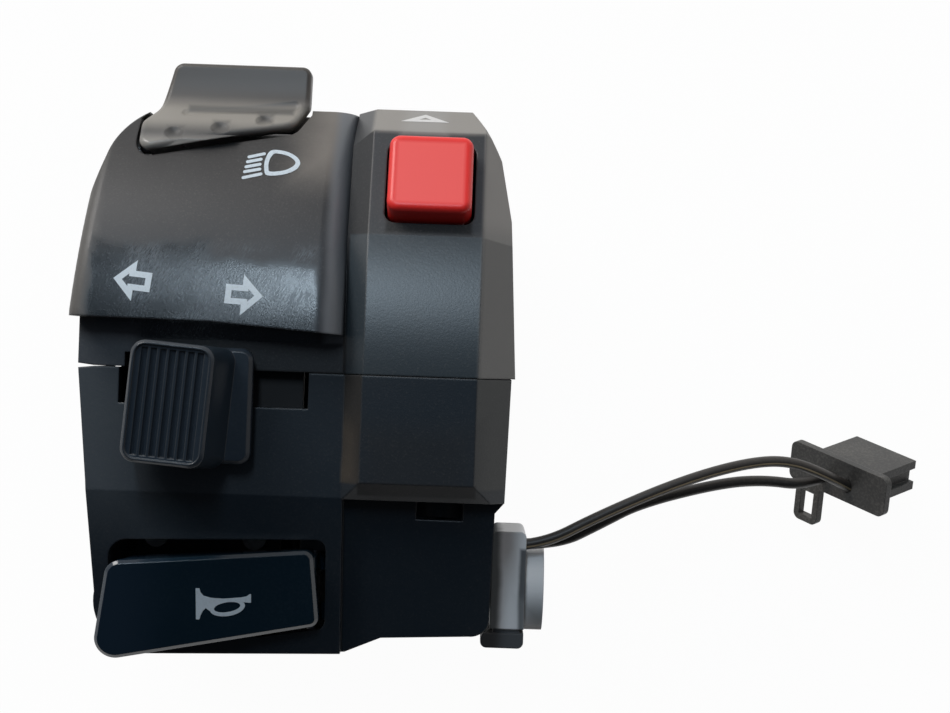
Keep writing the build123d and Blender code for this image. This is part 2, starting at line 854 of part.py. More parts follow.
def lower_case():
    """The lower case, with the horn pocket, screw bosses, contact towers and half of the bore."""
    inside = trim_back(lower_form(wall), -1, wall)
    outside = trim_back(lower_form(0), -1, 0)
    shell = outside - inside - prism(pocket_outline(), pocket_low_z, front_z)
    added = [ring_rib(-1)]
    for x, z in screw_places():
        added.append(rod(boss_radius, (x, screw_trough_end_y, z), (x, -split_half_gap, z)))
    x, z = screw_places()[1]
    added.append(rod(boss_radius, (x, lower_swoop_start_y, z), (x, -split_half_gap, z)))
    for x, y in turn_screw_places():
        boss_low = turn_base_z + turn_base_thickness
        added.append(pin_hole(x, y, boss_low, front_z - wall / 2, small_boss_radius))
    for x, y in horn_screw_places():
        added.append(pin_hole(x, y, back_z + wall / 2, horn_base_z, small_boss_radius))
    added.append(block(
        horn_pin_x - horn_pin_block, horn_pin_x + horn_pin_block,
        horn_lug_upper_y + horn_lug_width / 2 + free_gap, horn_pin_top_y + horn_pin_block,
        horn_pin_z - horn_pin_block, front_z))
    for piece in added:
        shell = shell + (piece & outside)
    shell = shell - bar_bore() - end_gap(-1) - slot_opening(-1)
    shell = shell - prism(pocket_outline(), horn_pin_z + horn_pin_block, front_z)
    shell = shell - rod(
        horn_pin_radius + thread_gap,
        (horn_pin_x, horn_pin_bottom_y, horn_pin_z), (horn_pin_x, horn_pin_top_y, horn_pin_z))
    for x, z in screw_places():
        shell = shell - rod(screw_hole_radius, (x, screw_seat_y, z), (x, 0, z))
        shell = shell - rod(screw_recess_radius, (x, screw_trough_end_y, z), (x, screw_seat_y, z))
    x, z = screw_places()[1]
    shell = shell - rod(screw_recess_radius, (x, lower_bottom_left_y, z), (x, screw_seat_y, z))
    for x, y in turn_screw_places():
        low = turn_base_z + turn_base_thickness
        shell = shell - pin_hole(x, y, low, low + small_thread_length, small_screw_radius + thread_gap)
    for x, y in horn_screw_places():
        low = horn_base_z - small_thread_length
        shell = shell - pin_hole(x, y, low, horn_base_z, small_screw_radius + thread_gap)
    half_y = neck_half_height + touch_gap
    half_z = neck_half_depth + touch_gap
    return shell - block(
        lower_heel_x - wall - cut_margin, outlet_right_x, neck_y - half_y, neck_y + half_y,
        outlet_z - half_z, outlet_z + half_z)


# Fasteners of the cases


def clamp_screws():
    """Two cheese-head screws with crossed recesses."""
    screws = []
    for x, z in screw_places():
        head_y = screw_seat_y - screw_head_height
        screw = rod(screw_radius, (x, screw_seat_y, z), (x, screw_tip_y, z))
        screw = screw + rod(screw_head_radius, (x, head_y, z), (x, screw_seat_y, z))
        half, thin = screw_recess_reach, screw_recess_half_width
        for a, b in ((half, thin), (thin, half)):
            screw = screw - block(x - a, x + a, head_y, head_y + screw_recess_depth, z - b, z + b)
        screws.append(screw)
    return Compound(screws)


def threaded_inserts():
    """Two brass inserts with a groove round the middle."""
    inserts = []
    middle = (insert_start_y + insert_end_y) / 2
    half = insert_groove_width / 2
    for x, z in screw_places():
        insert = tube(
            insert_radius, screw_radius + thread_gap, (x, insert_start_y, z), (x, insert_end_y, z))
        groove = tube(
            insert_radius + cut_margin, insert_radius - insert_groove_depth,
            (x, middle - half, z), (x, middle + half, z))
        inserts.append(insert - groove)
    return Compound(inserts)


def small_screw(seat, tip, head):
    """A small self-tapping screw between its tip and its head, with a slot."""
    screw = rod(small_screw_radius, tip, head) + rod(small_head_radius, seat, head)
    along = (Vector(*head) - Vector(*seat)).normalized()
    plane = Plane(origin=head, z_dir=along)
    slot = Box(2 * small_head_radius, small_slot_width, 2 * small_slot_depth)
    return screw - plane * slot


def upright_screws(places, seat_z, side):
    """Small screws along Z, with their heads on one side."""
    screws = []
    for x, y in places:
        tip = (x, y, seat_z - side * (small_thread_length - free_gap))
        screws.append(small_screw((x, y, seat_z), tip, (x, y, seat_z + side * small_head_height)))
    return Compound(screws)


# A coil spring as one unbroken tube of half-turn arcs


def helix_point(radius, rise, angle):
    """A point of the coil's centre line and its direction there."""
    point = Vector(radius * math.cos(angle), radius * math.sin(angle), rise * angle)
    along = Vector(-radius * math.sin(angle), radius * math.cos(angle), rise).normalized()
    return point, along


def two_arcs(start, start_along, end, end_along):
    """Two arcs that leave and arrive in given directions and meet in line."""
    gap = end - start
    spread = gap.dot(start_along + end_along)
    turn = 2 * (1 - start_along.dot(end_along))
    reach = (math.sqrt(spread * spread + turn * gap.dot(gap)) - spread) / turn
    meeting = (start + end + (start_along - end_along) * reach) * 0.5
    first = TangentArc(start, meeting, tangent=start_along)
    return [first, TangentArc(meeting, end, tangent=first % 1)]


def coil(plane, radius, wire, turns, length):
    """A coil spring that stands on a plane."""
    rise = (length - 2 * wire) / (2 * math.pi * turns)
    edges = []
    quarter = math.pi / 2
    for step in range(4 * turns):
        start, start_along = helix_point(radius, rise, step * quarter)
        end, end_along = helix_point(radius, rise, (step + 1) * quarter)
        edges += two_arcs(start, start_along, end, end_along)
    start, along = helix_point(radius, rise, 0.0)
    path = Wire([arc.edge() for arc in edges])
    spring = sweep(Plane(origin=start, z_dir=along) * Circle(wire / 2), path=path)
    gap = 2 * math.pi * rise - wire
    print(f"spring of {turns} turns, wire {wire} mm, gap between turns {gap:.2f} mm")
    return plane * Pos(0, 0, wire) * spring


# Turn signal switch


def turn_contact_base():
    """Moulded plate behind the slot, with two rails for the slider."""
    top = turn_base_z + turn_base_thickness
    plate = block(
        turn_base_left_x, turn_base_right_x, turn_base_bottom_y, turn_base_top_y, turn_base_z, top)
    for y in (slider_bottom_y - running_gap - turn_rail_width, slider_top_y + running_gap):
        plate = plate + block(
            turn_base_left_x, turn_base_right_x, y, y + turn_rail_width, top, top + turn_rail_height)
    for x, y in turn_screw_places():
        plate = plate - pin_hole(x, y, turn_base_z, top, small_screw_radius + touch_gap)
    return plate - turn_contacts(touch_gap)


def turn_contacts(grow):
    """Three brass contacts set flush in the base, with tails behind it."""
    middle_x = (slider_left_x + slider_right_x) / 2 - turn_fixed_setback
    middle_y = (slider_top_y + slider_bottom_y) / 2
    top = turn_base_z + turn_base_thickness
    strips = []
    for place in (-1, 0, 1):
        y = middle_y + place * turn_fixed_pitch
        x = middle_x + place * turn_fixed_step
        strip = block(
            x - turn_fixed_length / 2 - grow, x + turn_fixed_length / 2 + grow,
            y - turn_fixed_width / 2 - grow, y + turn_fixed_width / 2 + grow,
            top - turn_contact_thickness - grow, top + grow)
        tail = block(
            x - turn_tail_width / 2 - grow, x + turn_tail_width / 2 + grow,
            y - turn_tail_width / 2 - grow, y + turn_tail_width / 2 + grow,
            turn_base_z - turn_tail_drop, top - turn_contact_thickness / 2)
        strips.append(strip + tail)
    return Compound(strips)


def stem_box(grow, low, high):
    """The stem of the turn knob, or its socket."""
    return block(
        stem_left_x - grow, stem_right_x + grow, stem_bottom_y - grow, stem_top_y + grow, low, high)


def slider_levels():
    """Heights of the slider: its foot, the socket's floor, the shutter's back and front."""
    foot = turn_base_z + turn_base_thickness + running_gap
    shutter_front = front_z - wall - free_gap
    return foot, foot + socket_floor, shutter_front - shutter_thickness, shutter_front


def contact_recess():
    """Where the moving contact sits under the slider, as its middle in x and y."""
    return (slider_left_x + slider_right_x) / 2, (slider_top_y + slider_bottom_y) / 2


def turn_slider():
    """The slider behind the slot, with a shutter in front and a socket for the knob's stem."""
    foot, floor, shutter_back, shutter_front = slider_levels()
    body = block(slider_left_x, slider_right_x, slider_bottom_y, slider_top_y, foot, shutter_front)
    stop = wall + turn_travel + free_gap
    body = body + block(
        lower_flank_x + stop, recess_left_x - stop,
        slot_bottom_y - shutter_overlap_y, slot_top_y + shutter_overlap_y, shutter_back, shutter_front)
    x, y = contact_recess()
    body = body - block(
        x - turn_contact_length / 2, x + turn_contact_length / 2,
        y - turn_contact_width / 2, y + turn_contact_width / 2, foot, foot + turn_contact_thickness)
    body = body - stem_box(slip_gap, floor, front_z)
    bore_y = (stem_top_y + stem_bottom_y) / 2
    return body - pin_hole(ball_x, bore_y, foot, shutter_back, ball_radius + slip_gap)


def turn_moving_contact():
    """Brass bridge in the recess under the slider."""
    foot = slider_levels()[0]
    x, y = contact_recess()
    return block(
        x - turn_contact_length / 2 + touch_gap, x + turn_contact_length / 2 - touch_gap,
        y - turn_contact_width / 2 + touch_gap, y + turn_contact_width / 2 - touch_gap,
        foot, foot + turn_contact_thickness)


def detent_ball():
    """Steel ball that clicks the slider into its middle place."""
    foot = slider_levels()[0]
    bore_y = (stem_top_y + stem_bottom_y) / 2
    return Pos(ball_x, bore_y, foot + ball_radius) * Sphere(ball_radius)


def detent_spring():
    """Coil spring behind the ball."""
    foot, floor, shutter_back, shutter_front = slider_levels()
    low = foot + 2 * ball_radius + touch_gap
    bore_y = (stem_top_y + stem_bottom_y) / 2
    wire = detent_spring_wire
    plane = Plane(origin=(ball_x, bore_y, low - wire / 2))
    return coil(plane, ball_radius - wire, wire, detent_spring_turns, shutter_back - low + wire)


def knob_outline(length, height, corner):
    """A rounded rectangle, turned a little as the knob stands."""
    face = Rectangle(length, height)
    return Rot(0, 0, knob_turn) * fillet(face.vertices(), corner)


def turn_knob():
    """Ribbed thumb knob with its collar and the stem that goes through the slot."""
    collar_low = front_z + cancel_travel + free_gap
    collar_high = collar_low + collar_thickness
    centre_x = (collar_left_x + collar_right_x) / 2
    centre_y = (collar_top_y + collar_bottom_y) / 2
    face = Rectangle(collar_right_x - collar_left_x, collar_top_y - collar_bottom_y)
    face = Pos(centre_x, centre_y) * fillet(face.vertices(), collar_corner)
    collar = prism(face, collar_low, collar_high)
    collar = chamfer(collar.faces().sort_by(Axis.Z)[-1].edges(), collar_edge)
    foot = knob_outline(knob_base_length, knob_base_height, knob_corner)
    foot = Pos(knob_base_x, knob_base_y, collar_high) * foot
    head = knob_outline(knob_face_length, knob_face_height, knob_corner)
    head = Pos(knob_face_x, knob_face_y, knob_face_z) * head
    knob = loft([foot, head], ruled=True)
    knob = chamfer(knob.faces().sort_by(Axis.Z)[-1].edges(), knob_edge)
    inner_length, inner_height = knob_face_length - 2 * knob_rim, knob_face_height - 2 * knob_rim
    inner = knob_outline(inner_length, inner_height, knob_corner - knob_rim)
    knob = knob - prism(
        Pos(knob_face_x, knob_face_y) * inner, knob_face_z - knob_dish, knob_face_z + cut_margin)
    place = Pos(knob_face_x, knob_face_y, knob_face_z - knob_dish) * Rot(0, 0, knob_turn)
    for count in range(knob_grooves):
        x = (count - (knob_grooves - 1) / 2) * knob_groove_pitch
        half = knob_groove_length / 2
        knob = knob - place * rod(knob_groove_radius, (x, -half, 0), (x, half, 0))
    socket_bottom = slider_levels()[1]
    stem = stem_box(0, socket_bottom + stem_lift, collar_high)
    return collar + knob + stem


def cancel_spring():
    """Coil spring under the stem, which brings the pushed knob back up."""
    low = slider_levels()[1]
    x, y = (stem_left_x + stem_right_x) / 2, (stem_top_y + stem_bottom_y) / 2
    wire = cancel_spring_wire
    radius = (stem_top_y - stem_bottom_y) / 2 - wire
    plane = Plane(origin=(x, y, low - wire / 2))
    return coil(plane, radius, wire, cancel_spring_turns, stem_lift + wire)


# Horn switch


def horn_paddle():
    """The wide horn paddle, lifted at its left end, with skirt, pin lugs and two bosses."""
    face = paddle_outline()
    top_point, outward = paddle_plane(0)
    under_point, outward = paddle_plane(paddle_thickness)
    inward = tuple(-value for value in outward)
    plate = trim(trim(prism(face, 0, overrun / 2), top_point, outward), under_point, inward)
    plate = chamfer(plate.faces().sort_by(Axis((0, 0, 0), outward))[-1].edges(), paddle_edge)
    pocket = pocket_outline()
    ring = shrunk(face, skirt_inset) - shrunk(face, skirt_inset + skirt_wall)
    skirt = prism(ring, skirt_low_z, overrun / 2)
    skirt = skirt & prism(shrunk(pocket, skirt_gap), skirt_low_z, overrun / 2)
    added = [skirt]
    for y in (horn_lug_upper_y, horn_lug_lower_y):
        y0, y1 = y - horn_lug_width / 2, y + horn_lug_width / 2
        lug = rod(horn_lug_radius, (horn_pin_x, y0, horn_pin_z), (horn_pin_x, y1, horn_pin_z))
        right = paddle_reference_x - skirt_inset
        added.append(lug + block(horn_pin_x - horn_lug_radius, right, y0, y1, horn_pin_z, overrun / 2))
    added.append(rod(
        horn_boss_radius, (horn_boss_x, horn_boss_y, horn_boss_z), (horn_boss_x, horn_boss_y, overrun / 2)))
    added.append(rod(
        horn_striker_radius, (horn_striker_x, horn_boss_y, horn_striker_z),
        (horn_striker_x, horn_boss_y, overrun / 2)))
    middle_point = paddle_plane(paddle_thickness / 2)[0]
    for piece in added:
        plate = plate + trim(piece, middle_point, outward)
    return plate - rod(
        horn_pin_radius + slip_gap / 2,
        (horn_pin_x, horn_lug_lower_y - horn_lug_width, horn_pin_z),
        (horn_pin_x, horn_lug_upper_y + horn_lug_width, horn_pin_z))


def horn_pivot_pin():
    """Steel pin the paddle turns on."""
    low, high = (horn_pin_x, horn_pin_bottom_y, horn_pin_z), (horn_pin_x, horn_pin_top_y, horn_pin_z)
    return rod(horn_pin_radius, low, high)


def horn_contact_base():
    """Plate on two towers, which carries the fixed contact and the spring."""
    top = horn_base_z + horn_base_thickness
    plate = block(
        horn_base_left_x, horn_base_right_x, horn_base_bottom_y, horn_base_top_y, horn_base_z, top)
    for x, y in horn_screw_places():
        plate = plate - pin_hole(x, y, horn_base_z, top, small_screw_radius + touch_gap)
    return plate - pin_hole(
        horn_striker_x, horn_boss_y, horn_base_z, top, horn_rivet_radius / 2 + thread_gap)


def horn_fixed_contact():
    """Brass rivet on the base."""
    top = horn_base_z + horn_base_thickness
    head = pin_hole(horn_striker_x, horn_boss_y, top, horn_rivet_z, horn_rivet_radius)
    return head + pin_hole(
        horn_striker_x, horn_boss_y, horn_base_z - horn_rivet_tail, top, horn_rivet_radius / 2)


def horn_moving_contact():
    """Brass plate under the paddle's striker."""
    return block(
        horn_striker_x - horn_contact_half_length, horn_striker_x + horn_contact_half_length,
        horn_boss_y - horn_contact_half_width, horn_boss_y + horn_contact_half_width,
        horn_striker_z - horn_contact_thickness, horn_striker_z)


def horn_return_spring():
    low = horn_base_z + horn_base_thickness
    wire = horn_spring_wire
    plane = Plane(origin=(horn_boss_x, horn_boss_y, low - wire / 2))
    return coil(plane, horn_spring_radius, wire, horn_spring_turns, horn_boss_z - low + wire)


# Beam and flash lever


def lever_face():
    """Points of the lever's front from the side, from the tongue's low end to the blade's tip."""
    return [
        (lever_face_low_y + along * lever_face_length, lever_face_end_z + rise * lever_face_rise)
        for along, rise in lever_face_shares
    ]


def lever_profile():
    """The lever from the side: a tongue, a smooth hollow bend and a blade, all of one thickness."""
    points = lever_face()
    front = [(0.0, y, z) for y, z in points]
    back = []
    for index, (y, z) in enumerate(points):
        y0, z0 = points[max(index - 1, 0)]
        y1, z1 = points[min(index + 1, len(points) - 1)]
        length = math.hypot(y1 - y0, z1 - z0)
        sine, cosine = (z1 - z0) / length, (y1 - y0) / length
        back.append((0.0, y + sine * lever_thickness, z - cosine * lever_thickness))
    low, tip = Line(front[0], back[0]), Line(front[-1], back[-1])
    return make_face(Spline(*front) + tip + Spline(*back) + low)


def lever_front(y):
    """Height and slope of the lever's front at a place up the lever."""
    points = lever_face()
    for (y0, z0), (y1, z1) in zip(points, points[1:]):
        if y <= y1:
            slope = (z1 - z0) / (y1 - y0)
            return z0 + (y - y0) * slope, slope


def beam_lever():
    """The lever with its hub on the pin, its arm and the dimples for the thumb."""
    width = lever_right_x - lever_left_x + 2 * cut_margin
    sheet = extrude(Pos(lever_left_x - cut_margin, 0, 0) * lever_profile(), amount=width, dir=(1, 0, 0))
    column = prism(lever_outline(0), 0, overrun / 2)
    lever = sheet & column
    front = lever.faces().sort_by(SortBy.AREA)[-1]
    lever = fillet(front.edges(), lever_edge)
    hub_left, hub_right = lever_left_x + lever_hub_inset, lever_right_x - lever_hub_inset
    centre = (lever_pivot_y, lever_pivot_z)
    hub = rod(lever_hub_radius, (hub_left, *centre), (hub_right, *centre))
    low_y, high_y = lever_pivot_y - lever_arm_half, lever_pivot_y + lever_arm_half
    arm = block(
        lever_arm_left_x, lever_arm_right_x, low_y, high_y, carrier_z + carrier_height, lever_pivot_z)
    web = block(hub_left, hub_right, low_y, high_y, lever_pivot_z, lever_pivot_z + lever_web_height)
    under = make_face(Polyline(*[(0.0, y, z) for y, z in lever_face()], (0.0, 0.0, 0.0), close=True))
    under = extrude(Pos(hub_left, 0, 0) * under, amount=hub_right - hub_left, dir=(1, 0, 0))
    lever = lever + hub + arm + (web & under & column)
    lever = lever - rod(
        lever_pin_radius + slip_gap / 2, (lever_pin_left_x, *centre), (lever_pin_right_x, *centre))
    for share_x, share_y in dimple_shares:
        x, y = dimple_left_x + share_x * dimple_run_x, dimple_low_y + share_y * dimple_run_y
        z, slope = lever_front(y)
        away = Vector(0, -slope, 1).normalized()
        lever = lever - Pos(Vector(x, y, z) + away * (dimple_radius - dimple_depth)) * Sphere(dimple_radius)
    ends = []
    for x, y in (lever_groove_left, lever_groove_right):
        z, slope = lever_front(y)
        away = Vector(0, -slope, 1).normalized()
        ends.append(Vector(x, y, z) + away * (lever_groove_radius - lever_groove_depth))
    groove = rod(lever_groove_radius, tuple(ends[0]), tuple(ends[1]))
    for end in ends:
        groove = groove + Pos(end) * Sphere(lever_groove_radius)
    return lever - groove - beam_plunger_bore()


def carrier_middle():
    return (lever_arm_left_x + lever_arm_right_x) / 2


def beam_plunger_bore():
    """Bore for the detent plunger, through the carrier into the arm."""
    top = carrier_z + carrier_height + beam_plunger_length
    return pin_hole(
        carrier_middle(), lever_pivot_y, carrier_z - beam_contact_thickness, top,
        beam_plunger_radius + slip_gap)


def beam_pivot_pin():
    centre = (lever_pivot_y, lever_pivot_z)
    end_x = lever_cheek_x + lever_cheek_thickness
    return rod(lever_pin_radius, (lever_pin_left_x, *centre), (end_x, *centre))


def beam_contact_carrier():
    """Moulded block at the end of the arm."""
    carrier = block(
        lever_arm_left_x - carrier_side, lever_arm_right_x + carrier_side,
        lever_pivot_y - carrier_half, lever_pivot_y + carrier_half, carrier_z, carrier_z + carrier_height)
    return carrier - beam_plunger_bore()


def beam_moving_contact():
    """Brass bridge under the carrier."""
    bridge = block(
        lever_arm_left_x - carrier_side + touch_gap, lever_arm_right_x + carrier_side - touch_gap,
        lever_pivot_y - beam_contact_half_y, lever_pivot_y + beam_contact_half_y,
        carrier_z - beam_contact_thickness, carrier_z)
    return bridge - beam_plunger_bore()


def beam_plunger_levels():
    """Tip and top of the detent plunger, and the roof of its bore."""
    tip = beam_base_z + beam_base_thickness + free_gap
    return tip, tip + beam_plunger_length, carrier_z + carrier_height + beam_plunger_length


def beam_detent_plunger():
    """Small plunger with a round tip."""
    tip, top, roof = beam_plunger_levels()
    x, y = carrier_middle(), lever_pivot_y
    stem = pin_hole(x, y, tip + beam_plunger_radius, top, beam_plunger_radius)
    return stem + Pos(x, y, tip + beam_plunger_radius) * Sphere(beam_plunger_radius)


def beam_detent_spring():
    """Coil spring above the plunger."""
    tip, top, roof = beam_plunger_levels()
    wire = beam_spring_wire
    plane = Plane(origin=(carrier_middle(), lever_pivot_y, top - wire / 2 + touch_gap))
    length = roof - top + wire - 2 * touch_gap
    return coil(plane, beam_plunger_radius - wire, wire, beam_spring_turns, length)


def beam_strips(grow):
    """Four brass strips on the base, with tails behind it."""
    top = beam_base_z + beam_base_thickness
    strips = []
    for offset_x in (-beam_strip_outer, -beam_strip_inner, beam_strip_inner, beam_strip_outer):
        x = carrier_middle() + offset_x
        half, thin = beam_strip_width / 2, beam_tail_width / 2 + grow
        end_y = beam_strip_front_y + beam_strip_length
        strip = block(x - half, x + half, beam_strip_front_y, end_y, top, top + beam_strip_height)
        tail = block(
            x - thin, x + thin, beam_strip_front_y, beam_strip_front_y + 2 * thin,
            beam_base_z - beam_tail_drop, top + beam_strip_height / 2)
        strips.append(strip + tail)
    return Compound(strips)


def beam_contact_base():
    """Moulded plate under the lever's arm."""
    top = beam_base_z + beam_base_thickness
    plate = block(
        beam_base_left_x, beam_base_right_x, beam_base_bottom_y, beam_base_top_y, beam_base_z, top)
    for x, y in beam_screw_places():
        plate = plate - pin_hole(x, y, beam_base_z, top, small_screw_radius + touch_gap)
    return plate - beam_strips(thread_gap)


# Hazard switch


def hazard_cap():
    """Red cap with a skirt and a socket for the plunger."""
    half = cap_size / 2
    cap = hazard_block(half, half, -cap_skirt, cap_height, cap_corner)
    top = cap.faces().sort_by(Axis((0, 0, 0), tilted(panel_tilt)))[-1]
    cap = fillet(top.edges(), cap_edge)
    inner = plunger_size / 2 + touch_gap
    return cap - hazard_block(inner, inner, -cap_skirt, cap_height - cap_roof)


def hazard_bridge(grow):
    """The moving contact, or the slot for it in the plunger."""
    return hazard_block(
        hazard_bridge_half_u + grow, hazard_bridge_half_v + grow,
        hazard_bridge_low - grow, hazard_bridge_low + hazard_bridge_thickness + grow)


def hazard_plunger():
    """Square plunger between the cap and the spring."""
    half = plunger_size / 2
    return hazard_block(half, half, plunger_low, cap_height - cap_roof) - hazard_bridge(touch_gap)


def hazard_ear_bar(u, v, low, high, radius):
    """An ear's round end with the piece that joins it to the body."""
    inner_v = math.copysign(hazard_body_half_v - radius, v)
    middle = Pos(u, (v + inner_v) / 2) * Rectangle(2 * radius, abs(v - inner_v))
    joined = extrude(hazard_plane(low) * middle, amount=high - low)
    return joined + hazard_rod(u, v, low, high, radius)


def hazard_terminals():
    """Two brass blades that reach up inside the switch and stick out behind it."""
    blades = []
    for side in (-1, 1):
        u = side * (hazard_terminal_u + hazard_terminal_width / 2)
        face = Pos(u, 0) * Rectangle(hazard_terminal_width, 2 * hazard_terminal_half_v)
        height = hazard_bridge_low - hazard_travel - free_gap - hazard_terminal_low
        blades.append(extrude(hazard_plane(hazard_terminal_low) * face, amount=height))
    return Compound(blades)


def hazard_switch_body():
    """Switch body behind the panel, with a square guide, a contact chamber and two ears."""
    body = hazard_block(hazard_body_half_u, hazard_body_half_v, hazard_body_low, hazard_body_top)
    for u, v in hazard_ears():
        low = hazard_body_top - hazard_ear_thickness
        body = body + hazard_ear_bar(u, v, low, hazard_body_top, hazard_ear_radius)
        body = body - hazard_rod(u, v, low, hazard_body_top, small_screw_radius + touch_gap)
    guide = plunger_size / 2 + slip_gap
    body = body - hazard_block(guide, guide, hazard_cavity_top, hazard_body_top)
    half = hazard_cavity_half
    body = body - hazard_block(half, half, hazard_body_low + hazard_floor, hazard_cavity_top)
    return body - hazard_terminals()


def hazard_screws():
    """Two small screws through the ears of the switch body."""
    screws = []
    for u, v in hazard_ears():
        seat_w = hazard_body_top - hazard_ear_thickness
        seat = hazard_place(u, v, seat_w)
        tip = hazard_place(u, v, seat_w + small_thread_length - free_gap)
        screws.append(small_screw(seat, tip, hazard_place(u, v, seat_w - small_head_height)))
    return Compound(screws)


def hazard_spring():
    """Coil spring under the plunger."""
    floor = hazard_body_low + hazard_floor
    wire = hazard_spring_wire
    length = plunger_low - floor
    plane = hazard_plane(floor - wire / 2)
    return coil(plane, hazard_spring_radius, wire, hazard_spring_turns, length + wire)


# Cable outlet and lead


def harness_outlet():
    """Rubber outlet on the lower right side: flange, neck, nozzle and its bent cable passage."""
    left_x = lower_waist_x + touch_gap
    face = Rectangle(outlet_right_x - left_x, outlet_top_y - outlet_bottom_y)
    face = fillet(face.vertices(), outlet_corner)
    face = Pos((left_x + outlet_right_x) / 2, (outlet_top_y + outlet_bottom_y) / 2) * face
    body = prism(face, outlet_z - outlet_half_depth, outlet_z + outlet_half_depth)
    body = body - (block(
        0, overrun, outlet_foot_y - outlet_foot_step, outlet_foot_y, -overrun, overrun) - block(
        lower_waist_x + outlet_foot_step, outlet_right_x - outlet_foot_step,
        outlet_bottom_y, outlet_top_y, outlet_z - outlet_half_depth + outlet_foot_step,
        outlet_z + outlet_half_depth - outlet_foot_step))
    foot_top_y = outlet_foot_y - outlet_foot_step
    foot = Rectangle(outlet_right_x - outlet_foot_left_x, foot_top_y - outlet_bottom_y)
    foot = fillet(foot.vertices(), outlet_corner)
    foot = Pos((outlet_foot_left_x + outlet_right_x) / 2, (foot_top_y + outlet_bottom_y) / 2) * foot
    body = body + prism(foot, outlet_z - outlet_half_depth, outlet_z + outlet_half_depth)
    nozzle_y = (nozzle_top_y + nozzle_bottom_y) / 2
    nozzle_radius = (nozzle_top_y - nozzle_bottom_y) / 2
    body = body + rod(
        nozzle_radius, (lower_waist_x + wall, nozzle_y, outlet_z), (nozzle_right_x, nozzle_y, outlet_z))
    flange_right = lower_heel_x - wall - touch_gap
    flange_left = flange_right - inner_flange_thickness
    body = body + block(
        flange_left, lower_waist_x + wall, neck_y - neck_half_height, neck_y + neck_half_height,
        outlet_z - neck_half_depth, outlet_z + neck_half_depth)
    lip_y, lip_z = neck_half_height + inner_flange_lip, neck_half_depth + inner_flange_lip
    body = body + block(
        flange_left, flange_right, neck_y - lip_y, neck_y + lip_y, outlet_z - lip_z, outlet_z + lip_z)
    inner_end = lower_waist_x + wall
    body = body - rod(
        nozzle_bore_radius, (inner_end, nozzle_y, outlet_z), (nozzle_right_x, nozzle_y, outlet_z))
    neck_end = inner_end + neck_bore_radius
    body = body - rod(neck_bore_radius, (flange_left, neck_y, outlet_z), (neck_end, neck_y, outlet_z))
    for z in (lead_upper_z, lead_lower_z):
        body = body - rod(
            wire_radius + touch_gap, (lead_start_x, lead_exit_y, z), (outlet_right_x, lead_exit_y, z))
    return body


def connector_plane():
    """The connector's own frame: x along its flange, y down to the latch, z towards its mouth."""
    return Plane(origin=connector_centre, x_dir=connector_long, z_dir=connector_forward)


def wire_end(route, side):
    """Where one wire ends inside the connector, in line with its last run."""
    entry = (connector_plane().location * Location((side * terminal_pitch / 2, terminal_y, 0))).position
    last = Vector(*route[-1])
    return entry + (entry - last).normalized() * wire_bury


def wire_tube(name, points, radius):
    """A wire as straight runs joined by arcs as large as the runs allow."""
    points = [Vector(*point) for point in points]
    radii = []
    for before, here, after in zip(points, points[1:], points[2:]):
        shorter = min((here - before).length, (after - here).length)
        half_turn = math.radians((here - before).get_angle(after - here)) / 2
        radii.append(arc_share * shorter / math.tan(half_turn))
    path = FilletPolyline(*points, radius=radii)
    start = Plane(origin=points[0], z_dir=points[1] - points[0])
    wire = sweep(start * Circle(radius), path=path)
    expected = math.pi * radius ** 2 * path.length
    print(f"{name}: length {path.length:.1f} mm, radii {[round(radius, 1) for radius in radii]}")
    print(f"{name}: volume {wire.volume:.2f} mm3, section times length {expected:.2f} mm3")
    return wire


def lead_wire(name, route, z, side):
    """One wire of the lead, from inside the outlet to inside the connector."""
    points = [(lead_start_x, lead_exit_y, z), *route, tuple(wire_end(route, side))]
    return wire_tube(name, points, wire_radius)


def switch_wires():
    """Wires inside the cases, from the hazard, beam and horn contacts to the outlet."""
    end_x = lower_heel_x - wall
    terminal = hazard_place(hazard_terminal_u + hazard_terminal_width / 2, 0, hazard_terminal_low)
    strip_x = carrier_middle() + beam_strip_outer
    strip = (strip_x, beam_strip_front_y + beam_tail_width / 2, beam_base_z - beam_tail_drop)
    rivet = (horn_striker_x, horn_boss_y, horn_base_z - horn_rivet_tail)
    starts = (terminal, strip, rivet)
    wires = []
    for start, (name, route, offset_y, offset_z) in zip(starts, inner_routes):
        end = (end_x, neck_y + offset_y, outlet_z + offset_z)
        wires.append(wire_tube(name, [start, *route, end], inner_wire_radius))
    return Compound(wires)


def lead_wire_a():
    return lead_wire("lead_wire_a", lead_upper_route, lead_upper_z, 1)


def lead_wire_b():
    return lead_wire("lead_wire_b", lead_lower_route, lead_lower_z, -1)


